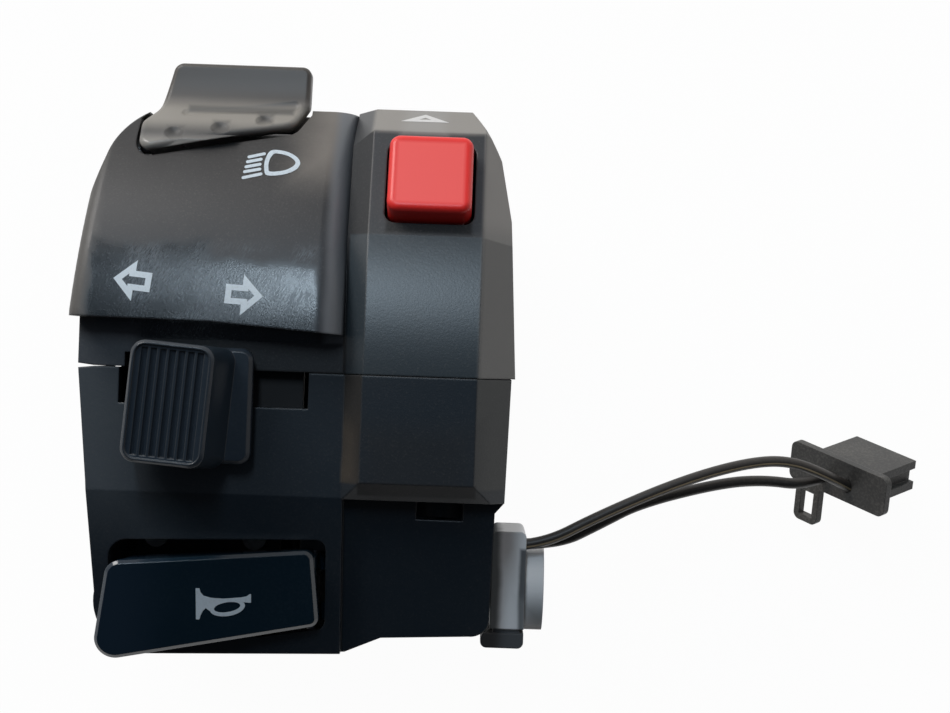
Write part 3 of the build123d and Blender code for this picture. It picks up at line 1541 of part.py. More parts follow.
def connector_shell():
    """Two-pole connector: flange with a latch loop, and a body with grooved ends."""
    flange = fillet(Rectangle(2 * flange_half_length, 2 * flange_half_width).vertices(), flange_corner)
    latch_x = (latch_left + latch_right) / 2
    width = latch_right - latch_left
    latch = Pos(latch_x, flange_half_width + latch_drop / 2) * Rectangle(width, latch_drop)
    root = Pos(latch_x, flange_half_width) * Rectangle(width, 2 * latch_root)
    hole = Pos(latch_x, flange_half_width + latch_drop / 2) * Rectangle(
        width - 2 * latch_bar, latch_drop - 2 * latch_bar)
    plate = extrude(flange + fillet(latch.vertices(), latch_bar) + root - hole, amount=flange_thickness)
    shell = plate + block(
        shell_left, shell_right, -shell_half_width, shell_half_width, flange_thickness / 2, shell_depth)
    waist_half = shell_half_width - shell_lip
    for end_x, side in ((shell_left, -1), (shell_right, 1)):
        inner_x = end_x - side * shell_waist
        shell = shell - block(
            min(inner_x, end_x), max(inner_x, end_x), -waist_half, waist_half,
            2 * flange_thickness, shell_depth)
    for side in (-1, 1):
        x = side * terminal_pitch / 2
        half = terminal_hole / 2
        shell = shell - block(
            x - half, x + half, terminal_y - half, terminal_y + half, terminal_floor, shell_depth)
    shell = connector_plane() * shell
    for route, side in ((lead_upper_route, 1), (lead_lower_route, -1)):
        shell = shell - rod(wire_radius + touch_gap, route[-1], tuple(wire_end(route, side)))
    return shell


def connector_terminals():
    """Two brass terminals in the connector's chambers."""
    terminals = []
    for side in (-1, 1):
        x = side * terminal_pitch / 2
        half, thin = terminal_width / 2, terminal_thickness / 2
        tip = shell_depth - flange_thickness
        blade = block(x - half, x + half, terminal_y - thin, terminal_y + thin, terminal_floor, tip)
        terminals.append(connector_plane() * blade)
    return Compound(terminals)


def turn_base_screws():
    return upright_screws(turn_screw_places(), turn_base_z, -1)


def horn_base_screws():
    return upright_screws(horn_screw_places(), horn_base_z + horn_base_thickness, 1)


def beam_base_screws():
    return upright_screws(beam_screw_places(), beam_base_z + beam_base_thickness, 1)


def turn_fixed_contacts():
    return turn_contacts(0)


def beam_fixed_contacts():
    return beam_strips(0)


def hazard_moving_contact():
    return hazard_bridge(0)


pieces = (
    upper_case, lower_case, clamp_screws, threaded_inserts,
    turn_contact_base, turn_fixed_contacts, turn_base_screws, turn_slider, turn_moving_contact,
    detent_ball, detent_spring, turn_knob, cancel_spring,
    horn_paddle, horn_pivot_pin, horn_contact_base, horn_fixed_contact, horn_base_screws,
    horn_moving_contact, horn_return_spring,
    beam_lever, beam_pivot_pin, beam_contact_carrier, beam_moving_contact, beam_detent_plunger,
    beam_detent_spring, beam_contact_base, beam_fixed_contacts, beam_base_screws,
    hazard_cap, hazard_plunger, hazard_moving_contact, hazard_spring, hazard_switch_body,
    hazard_terminals, hazard_screws,
    switch_wires, harness_outlet, lead_wire_a, lead_wire_b, connector_shell, connector_terminals,
)

os.makedirs("parts", exist_ok=True)
for piece in pieces:
    export_step(piece(), f"parts/{piece.__name__}.step")
print(f"{len(pieces)} pieces written")
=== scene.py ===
# %% [markdown]
# # Dressing a handlebar switch cluster
# A switch cluster sits on a motorcycle's handlebar beside the grip. This one lies on its back, seen from straight
# above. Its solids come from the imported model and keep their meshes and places: this script gives them their
# finishes, prints the marks, lays the two wires of the lead, and sets up the camera and the light. Every number for a
# place is in millimetres in the lists below and becomes metres where a piece is made.

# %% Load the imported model
import json
import math

import bmesh
import bpy
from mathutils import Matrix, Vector


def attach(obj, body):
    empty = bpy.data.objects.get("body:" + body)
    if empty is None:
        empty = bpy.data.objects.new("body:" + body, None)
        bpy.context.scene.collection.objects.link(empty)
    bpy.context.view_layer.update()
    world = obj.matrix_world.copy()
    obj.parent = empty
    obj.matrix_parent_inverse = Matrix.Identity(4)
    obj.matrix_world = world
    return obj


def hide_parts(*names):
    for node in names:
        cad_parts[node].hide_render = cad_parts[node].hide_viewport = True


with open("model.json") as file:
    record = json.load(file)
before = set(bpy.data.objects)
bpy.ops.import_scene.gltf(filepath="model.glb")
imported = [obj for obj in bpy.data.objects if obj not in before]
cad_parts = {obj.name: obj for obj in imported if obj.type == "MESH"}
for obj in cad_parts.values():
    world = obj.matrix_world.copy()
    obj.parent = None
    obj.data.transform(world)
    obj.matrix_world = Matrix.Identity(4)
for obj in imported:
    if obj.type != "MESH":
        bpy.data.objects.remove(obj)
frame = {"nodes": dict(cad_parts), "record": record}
scene = bpy.context.scene
scene.view_settings.view_transform = "Standard"
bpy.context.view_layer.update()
mm = 0.001

# %% [markdown]
# ## Camera
# The tall pieces lean outwards in the picture, the knob most of all. That lean gives the distance: the camera hangs
# 276 mm over the bar's axis and looks straight down. The cluster is turned by two degrees in the picture, so the
# camera is turned instead and the cluster stays square to its own axes. Lens over sensor width is the same ratio as
# distance over picture width.

# %% Camera
camera_place = (23.8, 3.0, 276.0)
camera_turn = 2.0
sensor_width = 36.0
lens_length = 69.95
camera_data = bpy.data.cameras.new("camera")
camera_data.sensor_width = sensor_width
camera_data.lens = lens_length
camera = bpy.data.objects.new("camera", camera_data)
camera.location = [value * mm for value in camera_place]
camera.rotation_euler = (0, 0, math.radians(camera_turn))
scene.collection.objects.link(camera)
scene.camera = camera
print("picture width", round(math.degrees(camera_data.angle), 1), "degrees")

# %% [markdown]
# ## The two wires of the lead
# Two thin vinyl wires leave the outlet side by side, rise a little over the table and go into the back of the plug.
# A NURBS spline is the natural line for such a wire: its bends have no corners, and a handful of control points
# steers it. Its order is set after the points are in, because an empty spline can't take it. The bevel turns the line
# into a round wire. A curve's own box grows by its points' radius, so the radius holds the wire's real size and the
# bevel's depth is one.

# %% Lead wires
lead_wires = {
    "lead_wire_upper": {
        "node": "lead_wire_a", "slot": "wire_vinyl_striped", "length": 57.6,
        "points": [
            (29.8, -24.6, 3.6), (34.4, -24.6, 3.6), (43.1, -19.9, 2.6), (55.0, -14.6, 0.6),
            (65.0, -11.6, -1.8), (71.9, -11.0, -3.0), (78.4, -13.4, -3.7), (82.1307, -15.1584, -7.5282)]},
    "lead_wire_lower": {
        "node": "lead_wire_b", "slot": "wire_vinyl_black", "length": 53.8,
        "points": [
            (29.8, -24.6, 1.7), (36.8, -24.6, 1.7), (43.3, -21.3, 0.6), (49.3, -18.1, -1.0),
            (61.6, -14.9, -4.0), (68.7, -14.3, -6.0), (74.9, -15.0, -6.6), (79.4696, -13.4324, -10.4351)]},
}
wire_diameter = 1.64
wire_bend_steps = 10
wire_round_steps = 5


def lay_wire(name, node, slot, length, points):
    """One wire as a NURBS curve through the given route, with a round section and closed ends."""
    data = bpy.data.curves.new(name, "CURVE")
    data.dimensions = "3D"
    spline = data.splines.new("NURBS")
    spline.points.add(len(points) - 1)
    for control, point in zip(spline.points, points):
        control.co = (*(value * mm for value in point), 1)
        control.radius = wire_diameter * mm / 2
    spline.order_u = 3
    spline.use_endpoint_u = True
    spline.resolution_u = wire_bend_steps
    data.bevel_depth = 1.0
    data.bevel_resolution = wire_round_steps
    data.use_fill_caps = True
    wire = bpy.data.objects.new(name, data)
    scene.collection.objects.link(wire)
    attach(wire, "housing")
    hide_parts(node)
    print(name, "has", len(points), "points and is", length, "mm long")
    return wire


wires = {values["slot"]: lay_wire(name, **values) for name, values in lead_wires.items()}

# %% [markdown]
# ## Table, room and lamps
# The cluster is photographed on white, under a window at the top of the picture. Faces that lean up the picture are
# light and brownish, faces that lean down it are almost black, and the hood's lower part mirrors the window. So the
# room is a world shader with a bright band at the height of the table on the window's side and a dim, bluish ceiling.
# Camera rays see plain white instead. One soft lamp is the window itself, and a lower one at the left gives the
# shadows under the hood and the red cap. Many of the lit and shaded faces are also painted lighter or darker in the
# finishes below, as painted light and painted shade, and a painted shadow deepens the one under the red cap.

# %% Helper for nodes
def add(tree, kind, values=None, links=None, **options):
    """Adds one shader node, sets its options and plain values, and joins its inputs to other outputs."""
    made = tree.nodes.new("ShaderNode" + kind)
    for option, value in options.items():
        setattr(made, option, value)
    for socket, value in (values or {}).items():
        made.inputs[socket].default_value = value
    for socket, source in (links or {}).items():
        tree.links.new(source, made.inputs[socket])
    return made


def ramp(tree, source, stops):
    """A colour ramp over a value: stops are (position, colour)."""
    made = add(tree, "ValToRGB", links={"Fac": source})
    band = made.color_ramp
    while len(band.elements) < len(stops):
        band.elements.new(0.5)
    for element, (position, colour) in zip(band.elements, stops):
        element.position = position
        element.color = (*colour, 1)
    return made.outputs["Color"]


# %% Room
world = bpy.data.worlds.new("room")
scene.world = world
world.use_nodes = True
tree = world.node_tree
tree.nodes.clear()
look = add(tree, "TexCoord")
direction = add(tree, "SeparateXYZ", links={"Vector": look.outputs["Generated"]})
room_bands = [
    (0.0, (0.95, 0.91, 0.87)), (0.25, (0.84, 0.80, 0.76)), (0.55, (0.36, 0.36, 0.37)),
    (0.82, (0.10, 0.12, 0.15)), (1.0, (0.06, 0.075, 0.10))]
room_colour = ramp(tree, direction.outputs["Z"], room_bands)
window_side = add(tree, "MapRange", {"From Min": -0.6, "From Max": 0.5, "To Min": 0.07, "To Max": 1.0}, {
    "Value": direction.outputs["Y"]}, interpolation_type="SMOOTHSTEP")
lit = add(tree, "Background", links={"Color": room_colour, "Strength": window_side.outputs["Result"]})
white = add(tree, "Background", {"Color": (1, 1, 1, 1), "Strength": 1.0})
path = add(tree, "LightPath")
choice = add(tree, "MixShader", links={
    0: path.outputs["Is Camera Ray"], 1: lit.outputs["Background"], 2: white.outputs["Background"]})
add(tree, "OutputWorld", links={"Surface": choice.outputs["Shader"]})

# %% Table
table_z = -19.5
table_half = 1500.0
paper_white = 0.95
seen_white = 0.97
shape = bmesh.new()
bmesh.ops.create_grid(shape, x_segments=4, y_segments=4, size=table_half * mm)
bmesh.ops.translate(shape, verts=shape.verts, vec=(0, 0, table_z * mm))
table_mesh = bpy.data.meshes.new("table")
shape.to_mesh(table_mesh)
shape.free()
table = bpy.data.objects.new("table", table_mesh)
scene.collection.objects.link(table)

paper = bpy.data.materials.new("white_table")
paper.use_nodes = True
tree = paper.node_tree
tree.nodes.clear()
seen = add(tree, "LightPath")
any_view = add(tree, "Math", links={0: seen.outputs["Is Camera Ray"], 1: seen.outputs["Is Glossy Ray"]},
               operation="MAXIMUM")
any_view = add(tree, "Math", links={0: any_view.outputs[0], 1: seen.outputs["Is Transmission Ray"]},
               operation="MAXIMUM")
half_seen = add(tree, "Math", {1: seen_white}, {0: any_view.outputs[0]}, operation="MULTIPLY")
matte = add(tree, "BsdfDiffuse", {"Color": (paper_white, paper_white, paper_white, 1)})
glow = add(tree, "Emission", {"Color": (1, 1, 1, 1), "Strength": 1.0})
paper_mix = add(tree, "MixShader", links={0: half_seen.outputs[0], 1: matte.outputs[0], 2: glow.outputs[0]})
add(tree, "OutputMaterial", links={"Surface": paper_mix.outputs[0]})
table.data.materials.append(paper)


# %% Lamps
lamps = {
    "window": {
        "place": (-0.05, 0.36, 0.65), "size": (0.065, 0.22), "power": 1.15, "colour": (0.70, 0.86, 1.0)},
    "low_window": {
        "place": (-0.36, 0.55, 0.34), "size": (0.35, 0.25), "power": 3.2, "colour": (1.0, 0.975, 0.95)},
}


def hang_lamp(name, place, size, power, colour):
    """A rectangular soft lamp at a place in metres, turned to face the cluster."""
    data = bpy.data.lights.new(name, "AREA")
    data.shape = "RECTANGLE"
    data.size, data.size_y = size
    data.energy = power
    data.color = colour
    lamp = bpy.data.objects.new(name, data)
    lamp.location = place
    lamp.rotation_euler = (-Vector(place)).to_track_quat("-Z", "Y").to_euler()
    scene.collection.objects.link(lamp)
    print(name, power, "W")


for name, values in lamps.items():
    hang_lamp(name, **values)

# %% [markdown]
# ## Effects that several finishes share
# Moulded plastic has a fine grain, its edges are rubbed lighter and never quite sharp, handling leaves fine parallel
# scuffs, and dust settles in soft patches of tiny specks. Each of these is one node group with its own inputs, so
# that a finish only chooses its values. A last group makes a soft-edged area from a place on the cluster, for films,
# worn spots and the patches of painted light, painted shade and painted sheen that lie on one part of a moulding.


# %% Helper for node groups
def effect(name, inputs, outputs):
    """An empty node group with named inputs (label, kind, value) and outputs (label, kind)."""
    group = bpy.data.node_groups.new(name, "ShaderNodeTree")
    for label, kind, value in inputs:
        socket = group.interface.new_socket(label, in_out="INPUT", socket_type="NodeSocket" + kind)
        if value is not None:
            socket.default_value = value
    for label, kind in outputs:
        group.interface.new_socket(label, in_out="OUTPUT", socket_type="NodeSocket" + kind)
    given = group.nodes.new("NodeGroupInput")
    result = group.nodes.new("NodeGroupOutput")
    return group, given.outputs, result.inputs


# %% Grain
grain, given, result = effect("moulded_grain", [
    ("Place", "Vector", None), ("Grains per metre", "Float", 4000.0)], [
    ("Height", "Float"), ("Speckle", "Float")])
fine = add(grain, "TexNoise", {"Detail": 2.0, "Roughness": 0.6}, {
    "Vector": given["Place"], "Scale": given["Grains per metre"]})
coarse_scale = add(grain, "Math", {1: 0.22}, {0: given["Grains per metre"]}, operation="MULTIPLY")
coarse = add(grain, "TexNoise", {"Detail": 1.0}, {"Vector": given["Place"], "Scale": coarse_scale.outputs[0]})
pits = add(grain, "Math", {1: 0.35}, {0: coarse.outputs["Fac"]}, operation="MULTIPLY")
height = add(grain, "Math", links={0: fine.outputs["Fac"], 1: pits.outputs[0]}, operation="ADD")
grain.links.new(height.outputs[0], result["Height"])
speckle = add(grain, "MapRange", {"From Min": 0.56, "From Max": 0.72}, {
    "Value": fine.outputs["Fac"]}, interpolation_type="SMOOTHSTEP")
grain.links.new(speckle.outputs["Result"], result["Speckle"])

# %% Rounded and rubbed edges
edges, given, result = effect("rubbed_edges", [
    ("Radius", "Float", 0.0003)], [("Mask", "Float"), ("Normal", "Vector")])
rounded = add(edges, "Bevel", links={"Radius": given["Radius"]}, samples=6)
flat = add(edges, "NewGeometry")
match = add(edges, "VectorMath", links={0: rounded.outputs["Normal"], 1: flat.outputs["Normal"]},
            operation="DOT_PRODUCT")
rub = add(edges, "MapRange", {"From Min": 0.995, "From Max": 0.86}, {"Value": match.outputs["Value"]},
          interpolation_type="SMOOTHSTEP")
edges.links.new(rub.outputs["Result"], result["Mask"])
edges.links.new(rounded.outputs["Normal"], result["Normal"])

# %% Scuffs
scuffs, given, result = effect("fine_scuffs", [
    ("Place", "Vector", None), ("Turn", "Vector", (0, 0, 0.6)), ("Amount", "Float", 0.5)], [("Mask", "Float")])
scuff_length, scuff_width = 1 / 1100, 1 / 6000
turned = add(scuffs, "Mapping", {"Scale": (scuff_length, scuff_width, scuff_length)}, {
    "Vector": given["Place"], "Rotation": given["Turn"]}, vector_type="TEXTURE")
lines = add(scuffs, "TexNoise", {"Scale": 1.0, "Detail": 3.0, "Roughness": 0.7}, {
    "Vector": turned.outputs["Vector"]})
patches = add(scuffs, "TexNoise", {"Scale": 180.0, "Detail": 2.0}, {"Vector": given["Place"]})
patch = add(scuffs, "MapRange", {"From Min": 0.42, "From Max": 0.66}, {"Value": patches.outputs["Fac"]})
line = add(scuffs, "MapRange", {"From Min": 0.42, "From Max": 0.66}, {"Value": lines.outputs["Fac"]})
both = add(scuffs, "Math", links={0: line.outputs["Result"], 1: patch.outputs["Result"]}, operation="MULTIPLY")
scaled = add(scuffs, "Math", links={
    0: both.outputs[0], 1: given["Amount"]}, operation="MULTIPLY", use_clamp=True)
scuffs.links.new(scaled.outputs[0], result["Mask"])

# %% Dust
dust, given, result = effect("settled_dust", [
    ("Place", "Vector", None), ("Amount", "Float", 0.5)], [("Mask", "Float")])
clouds = add(dust, "TexNoise", {"Scale": 60.0, "Detail": 4.0}, {"Vector": given["Place"]})
cloud = add(dust, "MapRange", {"From Min": 0.35, "From Max": 0.75}, {"Value": clouds.outputs["Fac"]})
specks = add(dust, "TexNoise", {"Scale": 2600.0, "Detail": 2.0}, {"Vector": given["Place"]})
speck = add(dust, "MapRange", {"From Min": 0.45, "From Max": 0.68, "To Min": 0.35}, {
    "Value": specks.outputs["Fac"]})
both = add(dust, "Math", links={0: cloud.outputs["Result"], 1: speck.outputs["Result"]}, operation="MULTIPLY")
scaled = add(dust, "Math", links={
    0: both.outputs[0], 1: given["Amount"]}, operation="MULTIPLY", use_clamp=True)
dust.links.new(scaled.outputs[0], result["Mask"])

# %% Soft-edged area
area, given, result = effect("soft_area", [
    ("Place", "Vector", None), ("Centre", "Vector", (0, 0, 0)), ("Half size", "Vector", (1, 1, 1)),
    ("Softness", "Float", 0.002), ("Raggedness", "Float", 0.0)], [("Mask", "Float")])
away = add(area, "VectorMath", links={0: given["Place"], 1: given["Centre"]}, operation="SUBTRACT")
away = add(area, "VectorMath", links={0: away.outputs["Vector"]}, operation="ABSOLUTE")
away = add(area, "VectorMath", links={0: away.outputs["Vector"], 1: given["Half size"]}, operation="SUBTRACT")
split = add(area, "SeparateXYZ", links={"Vector": away.outputs["Vector"]})
far = add(area, "Math", links={0: split.outputs["X"], 1: split.outputs["Y"]}, operation="MAXIMUM")
wander = add(area, "TexNoise", {"Scale": 130.0, "Detail": 3.0}, {"Vector": given["Place"]})
wander = add(area, "Math", {1: 0.5}, {0: wander.outputs["Fac"]}, operation="SUBTRACT")
wander = add(area, "Math", links={0: wander.outputs[0], 1: given["Raggedness"]}, operation="MULTIPLY")
far = add(area, "Math", links={0: far.outputs[0], 1: wander.outputs[0]}, operation="ADD")
low = add(area, "Math", {1: -1.0}, {0: given["Softness"]}, operation="MULTIPLY")
mask = add(area, "MapRange", {"To Min": 1.0, "To Max": 0.0}, {
    "Value": far.outputs[0], "From Min": low.outputs[0], "From Max": given["Softness"]},
    interpolation_type="SMOOTHSTEP")
area.links.new(mask.outputs["Result"], result["Mask"])
print(len(bpy.data.node_groups), "shared effects")


# %% [markdown]
# ## Finishes
# A finish starts as one Principled shader whose colour and roughness run through short chains: a base, then films,
# grain, rubbed edges and dust laid over it one after another. The helper below keeps such a chain readable. Each
# layer is a mask with the colour and the roughness that it brings.

# %% Helper for finishes
class Finish:
    """A material that is built up in layers over a base colour and roughness."""

    def __init__(self, name, colour, roughness, **sockets):
        self.material = bpy.data.materials.new(name)
        self.material.use_nodes = True
        self.tree = self.material.node_tree
        self.tree.nodes.clear()
        self.place = add(self.tree, "TexCoord").outputs["Object"]
        self.shader = add(self.tree, "BsdfPrincipled", {"Base Color": (*colour, 1), "Roughness": roughness})
        for socket, value in sockets.items():
            self.shader.inputs[socket.replace("_", " ")].default_value = value
        add(self.tree, "OutputMaterial", links={"Surface": self.shader.outputs["BSDF"]})
        self.start = {"Base Color": (*colour, 1), "Roughness": roughness}
        self.ends = {}

    def use(self, group, values=None, links=None):
        """Places one of the shared effects, reading this material's own place."""
        made = self.tree.nodes.new("ShaderNodeGroup")
        made.node_tree = group
        if "Place" in made.inputs:
            self.tree.links.new(self.place, made.inputs["Place"])
        for socket, value in (values or {}).items():
            made.inputs[socket].default_value = value
        for socket, source in (links or {}).items():
            self.tree.links.new(source, made.inputs[socket])
        return made.outputs

    def both(self, first, second):
        """Two masks multiplied."""
        return add(self.tree, "Math", links={0: first, 1: second}, operation="MULTIPLY").outputs[0]

    def share(self, mask, amount):
        """A mask made weaker."""
        return add(self.tree, "Math", {1: amount}, {0: mask}, operation="MULTIPLY").outputs[0]

    def layer(self, mask, colour=None, roughness=None):
        """Lays a colour and a roughness over what is there, where the mask is."""
        for socket, value, kind in (("Base Color", colour, "RGBA"), ("Roughness", roughness, "FLOAT")):
            if value is None:
                continue
            mix = add(self.tree, "Mix", data_type=kind)
            ending = {"RGBA": "_Color", "FLOAT": "_Float"}[kind]
            below_id, above_id, result_id = "A" + ending, "B" + ending, "Result" + ending
            sockets = {item.identifier: item for item in (*mix.inputs, *mix.outputs)}
            self.tree.links.new(mask, sockets["Factor_Float"])
            if socket in self.ends:
                self.tree.links.new(self.ends[socket], sockets[below_id])
            else:
                sockets[below_id].default_value = self.start[socket]
            if isinstance(value, bpy.types.NodeSocket):
                self.tree.links.new(value, sockets[above_id])
            else:
                sockets[above_id].default_value = (*value, 1) if kind == "RGBA" else value
            self.ends[socket] = sockets[result_id]
            self.tree.links.new(self.ends[socket], self.shader.inputs[socket])

    def bumps(self, height, depth, normal=None):
        """Raises the surface by a height map, over a rounded normal where there is one."""
        links = {"Height": height}
        if normal is not None:
            links["Normal"] = normal
        bump = add(self.tree, "Bump", {"Distance": depth, "Strength": 1.0}, links)
        self.tree.links.new(bump.outputs["Normal"], self.shader.inputs["Normal"])

    def film(self, kind_of_film, amount, colour, roughness):
        """Lays an effect that has an amount and a mask, such as dust."""
        self.layer(self.use(kind_of_film, {"Amount": amount})["Mask"], colour, roughness)

    def patches(self, rows, within=None):
        """Lays one patch for each row: area, colour and roughness, all inside another mask if there is one."""
        for place, colour, roughness in rows:
            mask = self.area(*place)
            self.layer(mask if within is None else self.both(within, mask), colour, roughness)

    def area(self, x0, x1, y0, y1, softness, raggedness=0.0):
        """A soft mask over a rectangle of the cluster, in millimetres."""
        return self.use(area, {
            "Centre": ((x0 + x1) / 2 * mm, (y0 + y1) / 2 * mm, 0),
            "Half size": ((x1 - x0) / 2 * mm, (y1 - y0) / 2 * mm, 1),
            "Softness": softness * mm, "Raggedness": raggedness * mm})["Mask"]


# %% [markdown]
# ### The upper case
# One moulding with two faces. The curved hood at the left has a satin top, and below an uneven line it is glossy,
# with fine steep scuffs around the turn marks. The hood's top, its left end and its right shoulder are painted
# lighter and brownish grey: painted light where they turn to the window and the bright room. The panel at the right
# has a fine grain, and a soft sheen runs across it, as on a slightly crowned face, so its normals lean as the hood's
# do; its colour is painted lighter and bluer as well, a painted sheen. The band under the hood's left end, the right
# side and the top bevel are painted light, and a painted shadow lies under the red cap.
# All of it is the same black plastic, so this is one finish with patches, not several materials. Each patch below is
# its left, right, low and high edge, its softness and its raggedness, then its colour and its roughness.

# %% Values of the two halves of the case
hood_radius = 48.0
hood_axis_z = -16.5
far = 60.0
case_edge_radius = 0.35
case_grains = 3600.0
dust_colour = (0.30, 0.28, 0.25)
dust_roughness = 0.7

# %% Patches of the upper case
hood_patches = [
    # Satin top, painted a little lighter: painted light from the bright room.
    ((-far, 8, 26, far, 9.0, 4.0), (0.012, 0.012, 0.013), 0.46),
    # Right part of the top, painted light brownish grey: painted light where the hood turns to the window.
    ((-1, 8, 27, far, 4.5, 4.0), (0.15, 0.134, 0.118), 0.5),
    # Left end of the hood, painted light: a painted reflection of the bright room at the left.
    ((-far, -28.0, 6.5, far, 1.3, 1.5), (0.085, 0.080, 0.074), 0.5),
    ((-27.4, -13, -far, 16.8, 1.2, 5.0), (0.003, 0.006, 0.009), 0.24),
    ((-27.4, 2.6, -far, 14.4, 0.8, 4.0), (0.003, 0.006, 0.009), 0.21),
    # Shoulder at the hood's right end, painted light grey: painted light on a face that no lamp reaches.
    ((3.4, 7.6, 4, far, 0.8, 0.6), (0.13, 0.138, 0.15), 0.42),
]
# The band under the hood's left end is painted lighter and bluer: painted light from the left.
lit_ledge_patch = ((-far, -22, -2, 5.6, 1.5, 1.0), (0.045, 0.052, 0.062), 0.42)
# A painted shadow: a near-black strip just under the red cap's lower edge, where the cap shades the panel.
cap_shadow_patch = ((11.2, 22.8, 19.2, 21.0, 0.4), (0.003, 0.004, 0.005), 0.7)
# The top bevel, which faces the window, is painted light, lightest around the hazard triangle: painted light.
lit_bevel_patches = [
    ((8.6, far, 33.4, far, 0.5, 0.6), (0.235, 0.22, 0.20), 0.55),
    ((13, 18.6, 33.4, far, 1.2, 0.6), (0.26, 0.25, 0.235), 0.55),
]

# %% Upper case finish
upper = Finish("upper_case_plastic", (0.016, 0.018, 0.021), 0.42)
edge = upper.use(edges, {"Radius": case_edge_radius * mm})
moulded = upper.use(grain, {"Grains per metre": case_grains})
on_hood = upper.area(-40, 5.9, 4, far, 0.2)
upper.layer(on_hood, (0.005, 0.006, 0.009), 0.42)
upper.patches(hood_patches, on_hood)
upper.patches([lit_ledge_patch])
on_panel = upper.area(6.4, 24.5, -far, 18.9, 0.2)
# The panel is painted lighter and bluer: a painted sheen, on top of the crowned normals below.
upper.layer(on_panel, (0.030, 0.040, 0.048), 0.32)
upper.patches([cap_shadow_patch])
# The right side is painted lighter and brownish, lighter still towards the top: painted light from the bright room.
lit_right_side = upper.area(24.4, far, -far, far, 0.5)
upper.layer(lit_right_side, (0.19, 0.18, 0.168), 0.5)
upper.patches([((8, far, 20, far, 2.0), (0.26, 0.24, 0.22), 0.5)], lit_right_side)
upper.patches(lit_bevel_patches)
scuff = upper.use(scuffs, {"Turn": (0, 0, 1.13), "Amount": 0.65})["Mask"]
scuffed = upper.area(-23, 2.6, 5.6, 16.5, 1.2, 3.0)
upper.layer(upper.both(upper.both(scuff, on_hood), scuffed), (0.10, 0.125, 0.15), 0.5)
upper.layer(upper.share(moulded["Speckle"], 0.10), (0.20, 0.19, 0.18))
upper.layer(upper.share(edge["Mask"], 0.30), (0.13, 0.125, 0.12), 0.4)
upper.film(dust, 0.06, dust_colour, dust_roughness)

# %% Crown of the panel
rise = add(upper.tree, "SeparateXYZ", links={"Vector": upper.place}).outputs["Y"]
slope = add(upper.tree, "Math", {1: 1 / (hood_radius * mm)}, {0: rise}, operation="MULTIPLY").outputs[0]
slope = upper.both(slope, on_panel)
lean = add(upper.tree, "CombineXYZ", links={"Y": slope}).outputs["Vector"]
crowned = add(upper.tree, "VectorMath", links={0: edge["Normal"], 1: lean}, operation="ADD").outputs["Vector"]
crowned = add(upper.tree, "VectorMath", links={0: crowned}, operation="NORMALIZE").outputs["Vector"]
upper.bumps(moulded["Height"], 0.012 * mm, crowned)

# %% [markdown]
# ### The lower case
# The lower case faces away from the window and stays almost black, with a blue cast. Its left end is painted lighter
# and bluer, as painted light from the left; the box's right side is painted light, and the box's low part and its
# down-facing bottom bevel are painted shade. Its grain is the same. The slanted side of the box, where hands pass, is
# brown and mottled.

# %% Patches of the lower case
left_bevel_place = (6.2, 8.8, -14.6, 1, 0.25, 0.4)
lower_patches = [
    # The left end, painted lighter and bluer: painted light from the left.
    ((-far, -22, -20, 10, 9.0, 2.0), (0.045, 0.055, 0.065), 0.42),
    (left_bevel_place, (0.022, 0.021, 0.020), 0.5),
]
worn_foot_patch = ((6.2, 8.8, -14.6, -7, 3.0, 3.0), (0.060, 0.048, 0.036), 0.55)
box_light_and_shade_patches = [
    # The box's right side, painted lighter: painted light.
    ((24.3, far, -15, 1, 0.3), (0.045, 0.047, 0.046), 0.5),
    # The box's low part, painted darker: painted shade.
    ((8.9, 24.2, -20, -7.0, 3.0, 1.0), (0.002, 0.005, 0.009), 0.5),
    # The box's down-facing bottom bevel, painted near black: painted shade.
    ((8.6, 24.5, -16.2, -14.4, 0.2), (0.003, 0.004, 0.006), 0.6),
]

# %% Lower case finish
lower = Finish("lower_case_plastic", (0.007, 0.013, 0.020), 0.40)
edge = lower.use(edges, {"Radius": case_edge_radius * mm})
moulded = lower.use(grain, {"Grains per metre": case_grains})
lower.patches(lower_patches)
lower.patches([worn_foot_patch], lower.area(*left_bevel_place))
lower.patches(box_light_and_shade_patches)
lower.layer(lower.share(moulded["Speckle"], 0.08), (0.14, 0.13, 0.12))
lower.layer(lower.share(edge["Mask"], 0.22), (0.08, 0.08, 0.08), 0.4)
lower.film(dust, 0.05, (0.24, 0.22, 0.20), dust_roughness)
lower.bumps(moulded["Height"], 0.010 * mm, edge["Normal"])

# %% [markdown]
# ### Plain mouldings
# The knob, the paddle, the lever and the parts inside are smoother mouldings that differ in colour, gloss and how
# much their edges are rubbed. One function makes them all, so that their grain and wear are of one family. Each row
# below has the slot, the colour and roughness, the colour and share of the rubbed edges, their radius, the amount of
# dust, and the depth of the grain.

